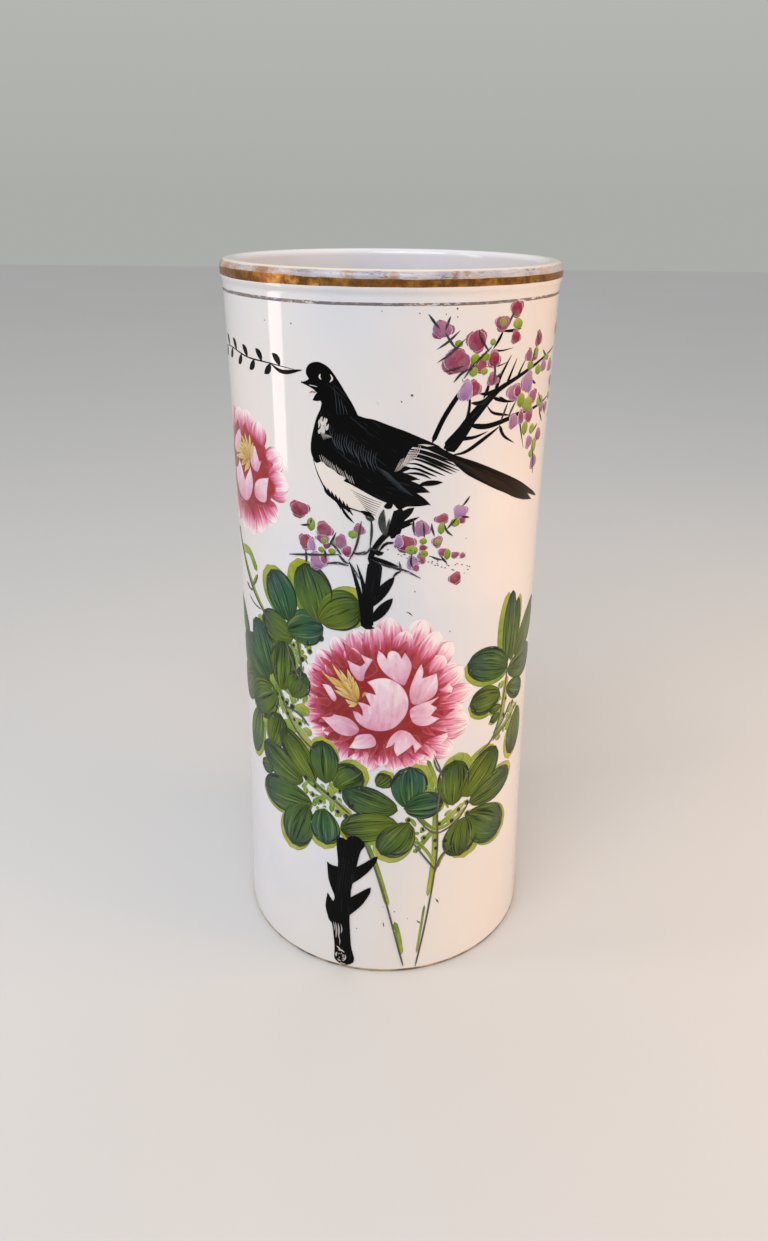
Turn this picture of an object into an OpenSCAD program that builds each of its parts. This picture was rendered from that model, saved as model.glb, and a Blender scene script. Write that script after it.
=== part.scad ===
// Flower vase: a tall porcelain cylinder, thrown and luted from four pieces of
// clay, then painted in raised enamels and gilded. Millimetres, +Z up. The origin
// is the middle of the foot, on the table, and the bird looks out towards -Y.

/* [Vase] */
// Height from the table to the top of the lip
vase_h = 280; // [260:5:320]
// Outside radius at the foot
foot_r = 62.6; // [62:0.1:66]
// Outside radius at the waist, half way up
waist_r = 59.8; // [59:0.1:62]
// Outside radius under the lip
mouth_r = 60.9; // [60:0.1:63]
// Radius of the bore, straight from the floor to the lip
bore_r = 55.3; // [53:0.1:56]

/* [Lip] */
// Height of the rolled lip at the bore
lip_h = 11; // [9:1:14]
// How far the lip stands out past the wall under it
lip_out = 0.7; // [0.4:0.1:1.5]
// Radius of the roll on the outer edge
lip_round = 2.6; // [2:0.1:2.8]

/* [Foot and base] */
// Thickness of the base disc
base_t = 7; // [5:1:10]
// Height of the foot ring, which is the depth of the recess under the base
foot_h = 4; // [3:0.5:5]
// Inside radius of the foot ring
foot_in_r = 52; // [48:1:54]
// Height of the bare line at the bottom edge
bare_edge = 1.6; // [1:0.2:2.4]
// Radius of the seat that the base disc is luted into
seat_r = 58.5; // [57:0.1:59]

/* [Painting] */
// Relief of the enamels on the glaze
enamel_t = 0.25; // [0.15:0.05:0.4]
// Relief of the gilding
gilding_t = 0.12; // [0.1:0.02:0.2]
// Height of the gilded band
gilt_band_h = 3.2; // [2.4:0.2:3.6]
// Height of the thin gilded line
gilt_line_h = 1.1; // [0.8:0.1:1.6]

/* [Hidden] */
$fn = 64;

// The painting is laid out on a vase 280 high, as [distance round the wall from
// the front, height], and grows with the vase.
laid_out_h = 280;
art = vase_h / laid_out_h;
art_r = waist_r / art;

bands = 7;                       // conical bands that make up the waisted wall
lip_joint_z = vase_h - lip_h;    // the lute under the lip, at the bore
lip_edge_z = vase_h - 8;         // the same lute at the outside
lip_r = wall_r(lip_edge_z) + lip_out;
floor_z = foot_h + base_t;
roll_z = vase_h - lip_round;
inner_round = 2.4;               // roll on the lip's inner edge
foot_chamfer = 1.2;
gilt_line_z = 270 * art;
prism_in = 25;                   // enamel prisms start this far from the axis
prism_out = 12;                  // and end this far outside the wall

// Outside radius of the wall: a parabola through the foot, the waist and the mouth
function wall_r(z) = let (t = z / vase_h)
    foot_r * (1 - t) * (1 - 2 * t) + 4 * waist_r * t * (1 - t) + mouth_r * t * (2 * t - 1);

// Height of the edge between two bands of the wall
function level(i) = bare_edge + (lip_edge_z - bare_edge) * i / bands;

// A point of the painting, seen straight on from the direction of "face"
function flat(face, p) = [art_r * sin((p[0] - face) / art_r * 180 / PI), p[1]];
function flats(face, points) = [for (p = points) flat(face, p)];

// Points along an arc of a profile
function arc(centre, r, from, to) = [for (i = [0:6]) let (a = from + (to - from) * i / 6)
    centre + r * [cos(a), sin(a)]];

// Ceramic ---------------------------------------------------------------------

module body_wall() {
    color("whitesmoke")
    rotate_extrude($fn = 128)
    polygon(concat([[seat_r, bare_edge]],
                   [for (i = [0:bands]) [wall_r(level(i)), level(i)]],
                   [[bore_r, lip_joint_z], [bore_r, floor_z], [seat_r, floor_z]]));
}

module rolled_lip() {
    color("lavender")
    rotate_extrude($fn = 128)
    polygon(concat([[bore_r, lip_joint_z], [wall_r(lip_edge_z), lip_edge_z],
                    [lip_r, lip_edge_z + 2]],
                   arc([lip_r - lip_round, roll_z], lip_round, 0, 90),
                   arc([bore_r + inner_round, vase_h - inner_round], inner_round, 90, 180)));
}

module base_disc() {
    color("whitesmoke")
    translate([0, 0, foot_h]) cylinder(r = seat_r, h = base_t, $fn = 128);
}

module foot_ring() {
    edge_r = wall_r(bare_edge);
    color("tan")
    rotate_extrude($fn = 128)
    polygon([[foot_in_r, 0], [edge_r - foot_chamfer, 0], [edge_r, foot_chamfer],
             [edge_r, bare_edge], [seat_r, bare_edge], [seat_r, foot_h], [foot_in_r, foot_h]]);
}

// Gilding ---------------------------------------------------------------------

module gilt_band() {
    color("darkgoldenrod")
    translate([0, 0, roll_z - gilt_band_h])
    difference() {
        cylinder(r = lip_r + gilding_t, h = gilt_band_h, $fn = 128);
        translate([0, 0, -1]) cylinder(r = lip_r, h = gilt_band_h + 2, $fn = 128);
    }
}

module gilt_line() {
    color("gray")
    skin(gilding_t)
    translate([0, 0, gilt_line_z - gilt_line_h / 2]) cylinder(r = foot_r + 10, h = gilt_line_h);
}

// Helpers for the enamels -----------------------------------------------------

// Keeps what lies in a skin of thickness t on the outside of the wall
module skin(t) {
    intersection() {
        rotate_extrude($fn = 128)
        polygon(concat([for (i = [0:bands]) [wall_r(level(i)), level(i)]],
                       [for (i = [bands:-1:0]) [wall_r(level(i)) + t, level(i)]]));
        union() children();
    }
}

// Pushes a flat outline through the wall at "face", a distance round from the front
module patch(face) {
    rotate([0, 0, face / art_r * 180 / PI])
    rotate([90, 0, 0])
    translate([0, 0, prism_in])
    linear_extrude(foot_r + prism_out - prism_in)
    scale(art) children();
}

// Leaf outline between two points: the overlap of two circles
module lens(base, tip, width) {
    d = tip - base;
    half = norm(d) / 2;
    arc_r = (half * half + width * width / 4) / width;
    translate((base + tip) / 2) rotate(atan2(d[1], d[0]))
    intersection() {
        translate([0, arc_r - width / 2]) circle(arc_r);
        translate([0, width / 2 - arc_r]) circle(arc_r);
    }
}

// Brush stroke along a path, from width w0 to width w1
module stroke(face, path, w0, w1) {
    n = len(path) - 1;
    p = flats(face, path);
    along = [for (i = [0:n]) p[min(i + 1, n)] - p[max(i - 1, 0)]];
    side = [for (i = [0:n]) [-along[i][1], along[i][0]] / norm(along[i])
                            * (w0 + (w1 - w0) * i / n) / 2];
    polygon(concat([for (i = [0:n]) p[i] + side[i]], [for (i = [n:-1:0]) p[i] - side[i]]));
}

// One round dab for each [across, height, radius]
module dabs(face, list) {
    for (d = list) translate(flat(face, d)) circle(d[2], $fn = 24);
}

// Bird ------------------------------------------------------------------------

bird_face = -5;
plumage = [[-24, 251.5], [-27.5, 250], [-28, 247.5], [-30.3, 244.8], [-26, 243], [-26, 239.5],
           [-23.5, 240], [-23, 237], [-26, 230], [-27, 225], [-22, 219], [-15, 213.5],
           [-8, 210], [0, 205], [14, 205.5], [18, 213], [20, 221], [16.5, 225.5],
           [10, 228.7], [0, 232.6], [-10, 235.3], [-14, 242], [-17, 246.5], [-20, 250.5]];
belly = [[-27, 225], [-26.3, 219], [-23, 211.5], [-18, 206.5], [-10, 203.3], [-4, 201.5],
         [0, 205], [-8, 210], [-15, 213.5], [-22, 219]];
tail_face = 42;
tail = [[16.5, 225.5], [20, 221], [25, 216.3], [40, 208], [55, 201], [64, 199], [69.5, 199],
        [60, 205], [40, 214.5], [25, 221.2]];

module bird_plumage() {
    color("black") skin(enamel_t) patch(bird_face) polygon(flats(bird_face, plumage));
}

module bird_belly() {
    color("linen") skin(enamel_t) patch(bird_face) polygon(flats(bird_face, belly));
}

module bird_tail() {
    color("darkslategray")
    difference() {
        skin(enamel_t) patch(tail_face) polygon(flats(tail_face, tail));
        patch(bird_face) polygon(flats(bird_face, plumage));
    }
}

module bird_legs() {
    color("dimgray") skin(enamel_t) patch(bird_face) {
        stroke(bird_face, [[-6, 200], [-6.4, 193]], 1, 0.8);
        stroke(bird_face, [[-1, 202], [-2.4, 194.6]], 1, 0.8);
    }
}

module bird_tongue() {
    color("firebrick") skin(enamel_t) patch(bird_face)
    polygon(flats(bird_face, [[-30, 243], [-26.6, 242.6], [-26.6, 241.4], [-28.6, 241.6]]));
}

// Plum tree -------------------------------------------------------------------

trunk_face = -12;
lower_trunk = [[-17, 2], [-20.3, 4], [-20.5, 12], [-22.8, 24.5], [-24.2, 30], [-23.3, 37.5],
               [-20.3, 35], [-23, 46], [-23, 53.5], [-18.8, 52.3], [-19.2, 66], [-15.5, 66.5],
               [-12, 69], [-7.8, 65], [-11.3, 53.5], [-2.8, 59.8], [-6.5, 52], [-13, 44.5],
               [-13.5, 38], [-5.5, 44.2], [-9, 35], [-14, 28.5], [-12.2, 6], [-14, 2.4]];
upper_trunk = [[-10, 160], [-4.5, 160], [-3.5, 163], [1.5, 171.5], [-3, 169.5], [-2.6, 173],
               [2, 179.5], [-2.6, 177.5], [-3, 185], [-7, 186], [-8.5, 178], [-12.6, 184],
               [-11.5, 176], [-10.5, 168]];

module trunk_lower() {
    color("black") skin(enamel_t) patch(trunk_face) polygon(flats(trunk_face, lower_trunk));
}

module trunk_upper() {
    color("black")
    skin(enamel_t) patch(trunk_face) {
        polygon(flats(trunk_face, upper_trunk));
        stroke(trunk_face, [[-2, 186], [1, 195], [6, 203]], 2.4, 3.4);
    }
}

limb_face = 42;
limbs = [[[[18, 223.8], [27, 232], [33, 239], [38, 242]], 7, 3.5],
         [[[38, 242], [47, 245], [55, 247.5], [65, 250], [75, 251]], 3, 1],
         [[[14, 227.4], [19, 236], [23.5, 243.5]], 1.6, 2.4],
         [[[24, 224], [30, 225.5], [40, 230], [50, 232.8], [75, 234.5]], 2, 1],
         [[[26, 234], [27, 239], [24, 247]], 1.8, 0.8],
         [[[40, 230], [43, 226], [47.5, 223]], 1.4, 0.7]];
twigs = [[[28, 242], [33, 241], [38, 243], [43, 253]],
         [[42, 244], [46, 251.5]],
         [[47, 245], [51, 251]],
         [[30, 256], [35, 256], [38, 261], [47, 261]],
         [[14, 256.5], [22, 262]],
         [[15, 252.5], [24, 259]],
         [[34, 237], [38, 234.5], [44, 233]]];
low_twigs = [[[-37, 184], [-17, 187], [-13.2, 184]],
             [[-22, 183], [-14, 183.5]],
             [[-6, 187.6], [6, 182], [11, 179.5]],
             [[2, 190], [14, 191], [27, 187]]];

module plum_limbs() {
    color("black")
    difference() {
        skin(enamel_t) patch(limb_face) for (l = limbs) stroke(limb_face, l[0], l[1], l[2]);
        patch(tail_face) polygon(flats(tail_face, tail));
        blossom_prisms();
    }
}

module plum_twigs() {
    color("dimgray")
    difference() {
        skin(enamel_t) {
            patch(limb_face) for (t = twigs) stroke(limb_face, t, 0.8, 0.5);
            patch(bird_face) for (t = low_twigs) stroke(bird_face, t, 0.8, 0.5);
        }
        patch(limb_face) for (l = limbs) stroke(limb_face, l[0], l[1], l[2]);
        patch(trunk_face) polygon(flats(trunk_face, upper_trunk));
        patch(trunk_face) stroke(trunk_face, [[-2, 186], [1, 195], [6, 203]], 2.4, 3.4);
        blossom_prisms();
    }
}

high_blossoms = [[16, 262.5, 3], [21.5, 252.5, 4.4], [28, 258.5, 3.7], [30, 250.8, 2.4],
                 [35.5, 252.5, 2.6], [35.5, 246, 2.1], [26.5, 243, 3.4], [38, 263.5, 2.6],
                 [44, 266.5, 2.6], [44.5, 258.5, 2.4], [46, 240.5, 3.4], [53, 243, 3.4],
                 [58, 237.5, 2.6], [47, 230.5, 2.4], [51, 230.5, 1.4], [56, 231, 2.5],
                 [58.5, 256.8, 2.5], [53, 252, 2.2], [64, 247.5, 2.4], [58, 221.5, 2.2],
                 [65.5, 222.5, 2.4], [63, 213.5, 2.6]];
low_blossoms = [[-32.5, 202, 3.4], [-22.8, 195.3, 3], [-30.5, 189.8, 2.8], [-25.5, 183.5, 3.4],
                [-16.5, 191.5, 2.7], [-10, 196.8, 2.2], [6, 192, 3], [11.5, 197, 2.8],
                [18.5, 200.3, 2.1], [25.3, 202, 2.6], [17, 192, 2], [11, 186, 1.8],
                [20.6, 187.4, 1.9], [25.6, 186.2, 2], [24.5, 177.7, 2.5]];
high_buds = [[21.8, 258, 1.2], [31.5, 253.8, 1.1], [34.5, 257.8, 1.2], [45, 262.6, 1.4],
             [50, 237, 1.3], [54.5, 235, 1.4], [54, 248.2, 1.3], [57.4, 252, 1.4],
             [60, 246.3, 1.5], [64, 235, 1.6], [59, 226, 1.6], [62, 218.4, 1.8]];
low_buds = [[-28, 196.5, 1.8], [-12.9, 195, 1.3], [-22.6, 190, 1.7], [-20.4, 186.6, 1.3],
            [8.6, 188.4, 1.3], [12.6, 191.6, 1.6], [14.4, 188, 1.2], [21.6, 197, 1.4]];

// Prisms that clear the branches out from under the blossoms
module blossom_prisms() {
    patch(limb_face) dabs(limb_face, high_blossoms);
    patch(limb_face) dabs(limb_face, high_buds);
    patch(bird_face) dabs(bird_face, low_blossoms);
    patch(bird_face) dabs(bird_face, low_buds);
}

module plum_blossoms() {
    color("mediumvioletred") skin(enamel_t) {
        patch(limb_face) dabs(limb_face, high_blossoms);
        patch(bird_face) dabs(bird_face, low_blossoms);
    }
}

module plum_buds() {
    color("yellowgreen")
    difference() {
        skin(enamel_t) {
            patch(limb_face) dabs(limb_face, high_buds);
            patch(bird_face) dabs(bird_face, low_buds);
        }
        patch(limb_face) dabs(limb_face, high_blossoms);
        patch(bird_face) dabs(bird_face, low_blossoms);
    }
}

// Peonies ---------------------------------------------------------------------
// Each is a ring of outer petals, a dark heart, a pale core petal and stamens.

front = [0, 131];
side = [-62, 208];

module petal_ring(face, centre, ring_r, petal_r, count) {
    for (i = [0:count - 1])
        translate(flat(face, centre) + ring_r * [cos(i * 360 / count), sin(i * 360 / count)])
        circle(petal_r, $fn = 48);
}

module heart(face, centre, heart_r) {
    translate(flat(face, centre)) circle(heart_r);
}

module core(face, centre) {
    translate(flat(face, centre)) circle(9.5);
    for (a = [20, 70, 215, 250, 320])
        translate(flat(face, centre) + 11 * [cos(a), sin(a)]) circle(4, $fn = 32);
}

module stamens(face, root) {
    for (a = [60:24:180]) {
        way = [cos(a), sin(a)];
        across = [-way[1], way[0]];
        base = flat(face, root) + 2 * way;
        polygon([base - 0.3 * across, base + 7 * way - 0.8 * across, base + 8 * way,
                 base + 7 * way + 0.8 * across, base + 0.3 * across]);
    }
}

module peony_petals() {
    color("pink")
    difference() {
        skin(enamel_t) patch(front[0]) petal_ring(front[0], front, 23, 8.5, 14);
        patch(front[0]) heart(front[0], front, 21);
    }
}

module peony_heart() {
    color("brown")
    difference() {
        skin(enamel_t) patch(front[0]) heart(front[0], front, 21);
        patch(front[0]) core(front[0], front);
        patch(front[0]) stamens(front[0], [-11, 132]);
    }
}

module peony_core() {
    color("lavenderblush") skin(enamel_t) patch(front[0]) core(front[0], front);
}

module peony_stamens() {
    color("gold")
    difference() {
        skin(enamel_t) patch(front[0]) stamens(front[0], [-11, 132]);
        patch(front[0]) core(front[0], front);
    }
}

module side_peony_petals() {
    color("pink")
    difference() {
        skin(enamel_t) patch(side[0]) petal_ring(side[0], side, 17, 6.8, 13);
        patch(side[0]) heart(side[0], side, 15);
    }
}

module side_peony_heart() {
    color("brown")
    difference() {
        skin(enamel_t) patch(side[0]) heart(side[0], side, 15);
        patch(side[0]) translate(flat(side[0], side + [0, -2])) circle(7);
        patch(side[0]) stamens(side[0], side + [-2, 5.6]);
    }
}

module side_peony_core() {
    color("lavenderblush")
    skin(enamel_t) patch(side[0]) translate(flat(side[0], side + [0, -2])) circle(7);
}

module side_peony_stamens() {
    color("gold")
    difference() {
        skin(enamel_t) patch(side[0]) stamens(side[0], side + [-2, 5.6]);
        patch(side[0]) translate(flat(side[0], side + [0, -2])) circle(7);
    }
}

// Peony leaves ----------------------------------------------------------------
// Each leaf is [base, tip, width].

left_face = -48;
left_leaves = [[[-39.5, 158], [-47.5, 174], 12], [[-25.5, 161], [-32, 181], 12],
               [[-40.5, 153], [-25.5, 158], 10], [[-38.5, 150.5], [-54, 154], 9],
               [[-44.5, 127], [-41.5, 146.5], 10], [[-38.5, 126], [-31.5, 135.5], 7.5],
               [[-52, 133], [-60, 148], 8], [[-53, 128], [-71, 138], 10],
               [[-49, 123.5], [-63, 112.5], 11], [[-52, 98.5], [-46, 113.5], 9],
               [[-60, 110], [-67, 88], 10], [[-66, 126], [-80, 114], 9]];
low_left_leaves = [[[-29, 91], [-43, 107], 10], [[-35, 89], [-57, 96], 10],
                   [[-32, 79], [-58, 76], 13], [[-33, 77.5], [-41, 54.5], 12],
                   [[-25, 78], [-24, 61.5], 10]];
low_face = 0;
low_leaves = [[[-24, 91.5], [-25, 110], 9], [[-19, 91], [-9, 99.5], 10],
              [[4, 82], [-15.5, 89], 10], [[4, 75], [-16.5, 70.5], 10],
              [[8, 75], [-1, 61], 11], [[10, 84.5], [9.5, 101], 11],
              [[8, 82.5], [21.5, 81], 10], [[-5, 97], [1, 96], 4]];
right_face = 48;
right_leaves = [[[27, 81.5], [28, 100], 11], [[33, 84.5], [48.5, 99.5], 11],
                [[36, 79], [60, 82.5], 10], [[35, 72], [55, 58], 14],
                [[33, 71.5], [31.5, 54], 12], [[52, 132], [33, 143], 11],
                [[49.5, 123], [34.5, 124], 9], [[55, 136], [54.5, 164.5], 10],
                [[55, 132], [78, 129], 9], [[55, 125], [67, 118.5], 6],
                [[62, 137], [82, 152], 10], [[66, 109], [62, 90], 10]];
right_flecks = [[[44.5, 117], [50.5, 118.5], 2.6], [[45.5, 113], [50, 114.6], 3]];
left_haloed = [left_leaves[1], low_left_leaves[3], low_left_leaves[4]];
low_haloed = [low_leaves[3], low_leaves[4], low_leaves[5]];
right_haloed = [right_leaves[0], right_leaves[4], right_leaves[6], right_leaves[7]];
halo_edge = 3;

module lenses(face, list, more) {
    for (l = list) {
        base = flat(face, l[0]);
        tip = flat(face, l[1]);
        lens(base, tip + more / 2 * (tip - base) / norm(tip - base), l[2] + more);
    }
}

module leaf_prisms(more) {
    patch(left_face) lenses(left_face, left_leaves, more);
    patch(left_face) lenses(left_face, low_left_leaves, more);
    patch(low_face) lenses(low_face, low_leaves, more);
    patch(right_face) lenses(right_face, right_leaves, more);
}

module leaves() {
    color("darkolivegreen") skin(enamel_t) {
        leaf_prisms(0);
        patch(right_face) lenses(right_face, right_flecks, 0);
    }
}

module leaf_halos() {
    color("yellowgreen")
    difference() {
        skin(enamel_t) {
            patch(left_face) lenses(left_face, left_haloed, halo_edge);
            patch(low_face) lenses(low_face, low_haloed, halo_edge);
            patch(right_face) lenses(right_face, right_haloed, halo_edge);
        }
        leaf_prisms(0);
        flower_prisms();
    }
}

// Prisms that clear the stems out from under the front peony and the trunk
module flower_prisms() {
    patch(front[0]) petal_ring(front[0], front, 23, 8.5, 14);
    patch(trunk_face) polygon(flats(trunk_face, lower_trunk));
}

left_stems = [[[-78, 181], [-65, 165], [-53, 155], [-46, 150]], [[-64, 164], [-58, 169]],
              [[-62, 162], [-69, 163]], [[-55, 156], [-67, 158]],
              [[-36, 152], [-34, 140], [-36, 124]], [[-46, 126], [-38, 112], [-30, 108]]];
low_stems = [[[-32, 92], [-20, 84], [-14, 79]], [[-7, 67], [-1, 44], [8, 3]],
             [[19, 108], [22, 96], [21, 80], [22, 50], [13, 3]], [[11, 66], [21, 50]],
             [[12, 78], [20, 69], [29, 72], [35, 78]]];
right_stems = [[[40, 100], [46, 104], [50, 112], [53, 124], [54, 133]],
               [[46, 104], [55, 107], [62, 112]]];

module leaf_stems() {
    color("olivedrab")
    difference() {
        skin(enamel_t) {
            patch(left_face) for (s = left_stems) stroke(left_face, s, 1.6, 1.2);
            patch(low_face) for (s = low_stems) stroke(low_face, s, 1.8, 1.2);
            patch(right_face) for (s = right_stems) stroke(right_face, s, 1.6, 1.2);
        }
        leaf_prisms(halo_edge);
        flower_prisms();
    }
}

seeds_left = [[-30, 147, 0.8], [-30.5, 150.4, 0.8], [-38, 117, 0.9], [-35.4, 116, 0.9]];
seeds_low = [[-28.6, 88.4, 0.9], [-23, 86.6, 0.9], [-18, 89, 0.9], [-20.5, 85.2, 0.9],
             [-26.4, 82, 0.9], [-19, 79, 1], [-15.6, 77.8, 0.7],
             [15, 71.8, 0.9], [15.4, 67.6, 1], [20, 65.4, 0.9], [20.4, 61.6, 0.8]];
seeds_right = [[21.6, 73, 0.8], [30, 77.4, 1], [27, 73, 1], [34, 79.4, 0.8], [34.4, 74, 0.9]];

module seed_dots() {
    color("black")
    difference() {
        skin(enamel_t) {
            patch(left_face) dabs(left_face, seeds_left);
            patch(low_face) dabs(low_face, seeds_low);
            patch(low_face) dabs(low_face, seeds_right);
        }
        leaf_prisms(halo_edge);
        patch(low_face) for (s = low_stems) stroke(low_face, s, 1.8, 1.2);
        patch(left_face) for (s = left_stems) stroke(left_face, s, 1.6, 1.2);
    }
}

// A plain sprig of brushed leaves beside the bird's head
sprig_face = -58;
sprig = [[[-36, 249], [-45, 250], 2], [[-47, 251], [-51, 254.4], 2.2], [[-47, 249], [-51, 246.6], 2],
         [[-56, 251], [-61, 254.4], 2], [[-56, 249.6], [-61.6, 247.8], 1.8],
         [[-66, 251.4], [-71, 254.4], 2], [[-66, 250], [-71.4, 248.2], 1.8]];

module ink_sprig() {
    color("black") skin(enamel_t) patch(sprig_face) lenses(sprig_face, sprig, 0);
}

body_wall();
rolled_lip();
base_disc();
foot_ring();
gilt_band();
gilt_line();
bird_plumage();
bird_belly();
bird_tail();
bird_legs();
bird_tongue();
trunk_lower();
trunk_upper();
plum_limbs();
plum_twigs();
plum_blossoms();
plum_buds();
peony_petals();
peony_heart();
peony_core();
peony_stamens();
side_peony_petals();
side_peony_heart();
side_peony_core();
side_peony_stamens();
leaves();
leaf_halos();
leaf_stems();
seed_dots();
ink_sprig();
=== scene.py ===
"""Looks of the flower vase: fired porcelain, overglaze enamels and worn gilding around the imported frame."""

import logging
import math
from collections.abc import Sequence
from dataclasses import dataclass
from enum import Enum

import bpy
import numpy as np
from mathutils import Matrix, Vector, geometry


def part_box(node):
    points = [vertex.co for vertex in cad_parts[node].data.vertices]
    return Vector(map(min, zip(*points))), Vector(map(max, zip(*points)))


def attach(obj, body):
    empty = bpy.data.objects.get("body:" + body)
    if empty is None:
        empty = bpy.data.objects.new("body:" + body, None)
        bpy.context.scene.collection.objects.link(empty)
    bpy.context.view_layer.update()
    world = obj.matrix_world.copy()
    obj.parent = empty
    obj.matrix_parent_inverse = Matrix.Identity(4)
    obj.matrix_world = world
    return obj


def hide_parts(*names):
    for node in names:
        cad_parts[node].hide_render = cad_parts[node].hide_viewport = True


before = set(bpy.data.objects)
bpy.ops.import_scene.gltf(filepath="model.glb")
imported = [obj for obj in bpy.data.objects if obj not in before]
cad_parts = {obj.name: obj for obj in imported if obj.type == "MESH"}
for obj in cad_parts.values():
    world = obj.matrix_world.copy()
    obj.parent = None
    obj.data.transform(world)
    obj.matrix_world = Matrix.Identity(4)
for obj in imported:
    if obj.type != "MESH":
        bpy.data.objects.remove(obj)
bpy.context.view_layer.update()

logging.basicConfig(level=logging.INFO, format="%(levelname)s %(message)s")
log = logging.getLogger("flower_vase")

MM = 0.001
ROOT = "root"
C = 1  # third value of a place that is a corner of its outline
Point = tuple[float, float]
Line = Sequence[Point]
Socket = bpy.types.NodeSocket
Value = Socket | float | tuple


# Kit: colours, node trees and operators ------------------------------------------


def paint(code: str) -> tuple[float, float, float, float]:
    """Turns a colour written as six hex digits into linear light.

    Args:
        code: Red, green and blue, two hex digits each.

    Returns:
        The linear colour, opaque.
    """
    parts = [int(code[i:i + 2], 16) / 255 for i in (0, 2, 4)]
    linear = [c / 12.92 if c <= 0.04045 else ((c + 0.055) / 1.055) ** 2.4 for c in parts]
    return (linear[0], linear[1], linear[2], 1.0)


class Tree:
    """A material's node tree while it is being wired."""

    def __init__(self, name: str) -> None:
        """Starts an empty tree with its output."""
        self.material = bpy.data.materials.new(name)
        self.material.use_nodes = True
        self.nodes = self.material.node_tree.nodes
        self.links = self.material.node_tree.links
        self.nodes.clear()
        self.output = self.nodes.new("ShaderNodeOutputMaterial")

    def put(self, target: Socket, value: Value) -> None:
        """Links a socket, or sets a constant.

        Args:
            target: The input socket.
            value: An output socket, or the constant that the input takes.
        """
        if isinstance(value, Socket):
            self.links.new(value, target)
        else:
            target.default_value = value

    def add(self, kind: str, inputs: dict | None = None, **settings: object) -> bpy.types.Node:
        """Adds a node.

        Args:
            kind: The node's type without its ShaderNode prefix.
            inputs: Sockets or constants by input name or index.
            **settings: Properties of the node.

        Returns:
            The new node.
        """
        node = self.nodes.new("ShaderNode" + kind)
        for key, value in settings.items():
            setattr(node, key, value)
        for key, value in (inputs or {}).items():
            self.put(node.inputs[key], value)
        return node

    def math(self, operation: str, a: Value, b: Value = 0.0) -> Socket:
        """Adds a math node on two values and returns its socket."""
        return self.add("Math", {0: a, 1: b}, operation=operation).outputs[0]

    def times(self, *values: Value) -> Socket:
        """Multiplies values and returns the product's socket."""
        product = values[0]
        for value in values[1:]:
            product = self.math("MULTIPLY", product, value)
        return product

    def place(self) -> Socket:
        """Returns the socket of a spot's place on the object."""
        return self.add("TexCoord").outputs["Object"]

    def squash(self, scale: tuple) -> Socket:
        """Returns the spot's place with each axis scaled."""
        return self.add("Mapping", {"Vector": self.place(), "Scale": scale}).outputs[0]

    def finish(self, inputs: dict) -> bpy.types.Material:
        """Adds the shader with its inputs and returns the finished material."""
        self.put(self.output.inputs[0], self.add("BsdfPrincipled", inputs).outputs[0])
        return self.material

    def step(self, value: Value, low: float, high: float) -> Socket:
        """Adds a smooth step from 0 at low to 1 at high and returns its socket."""
        node = self.add("MapRange", {0: value, 1: low, 2: high}, interpolation_type="SMOOTHSTEP")
        return node.outputs[0]

    def noise(self, vector: Socket, scale: float, detail: float = 2.0, rough: float = 0.5,
              warp: float = 0.0) -> Socket:
        """Adds a noise pattern and returns its value socket."""
        node = self.add("TexNoise", {"Vector": vector, "Scale": scale, "Detail": detail,
                                     "Roughness": rough, "Distortion": warp})
        return node.outputs[0]

    def ramp(self, value: Value, stops: Sequence[tuple[float, str]]) -> Socket:
        """Adds a colour ramp and returns its colour socket.

        Args:
            value: Where on the ramp, from 0 to 1.
            stops: Places and hex colours.

        Returns:
            The colour socket.
        """
        node = self.add("ValToRGB", {0: value})
        node.color_ramp.interpolation = "EASE"
        places = node.color_ramp.elements
        while len(places) < len(stops):
            places.new(0.5)
        for element, (place, code) in zip(places, stops):
            element.position = place
        for element, (place, code) in zip(places, stops):
            element.color = paint(code)
        return node.outputs[0]

    def mix(self, factor: Value, a: Value, b: Value) -> Socket:
        """Adds a mix of two colours and returns its colour socket."""
        node = self.add("Mix", data_type="RGBA", clamp_factor=True)
        self.put(node.inputs["Factor"], factor)
        self.put(node.inputs[6], a)
        self.put(node.inputs[7], b)
        return node.outputs[2]

    def bump(self, height: Value, depth: float, under: Socket | None = None) -> Socket:
        """Adds relief from a height pattern and returns its normal socket."""
        node = self.add("Bump", {"Height": height, "Distance": depth})
        if under is not None:
            self.put(node.inputs["Normal"], under)
        return node.outputs[0]


def deselect() -> None:
    """Leaves nothing selected."""
    bpy.ops.object.select_all(action="DESELECT")


def newest(name: str) -> bpy.types.Object:
    """Names the piece that an operator has just made, and returns it."""
    piece = bpy.context.active_object
    piece.name = name
    piece.data.name = name
    return piece


def centre_origin(piece: bpy.types.Object) -> None:
    """Moves a piece's place and turn into its mesh."""
    deselect()
    piece.select_set(True)
    bpy.context.view_layer.objects.active = piece
    bpy.ops.object.transform_apply(location=True, rotation=True, scale=True)


def dress(piece: bpy.types.Object, material: bpy.types.Material, slot: str, *nodes: str) -> None:
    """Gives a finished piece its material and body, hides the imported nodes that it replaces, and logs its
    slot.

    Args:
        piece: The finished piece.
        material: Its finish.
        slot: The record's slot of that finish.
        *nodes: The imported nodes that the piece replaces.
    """
    piece.data.materials.clear()
    piece.data.materials.append(material)
    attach(piece, ROOT)
    if nodes:
        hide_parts(*nodes)
    log.info("%s: %d faces, slot %s, for %s", piece.name, len(piece.data.polygons), slot, nodes)


# Ceramic --------------------------------------------------------------------------


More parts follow.
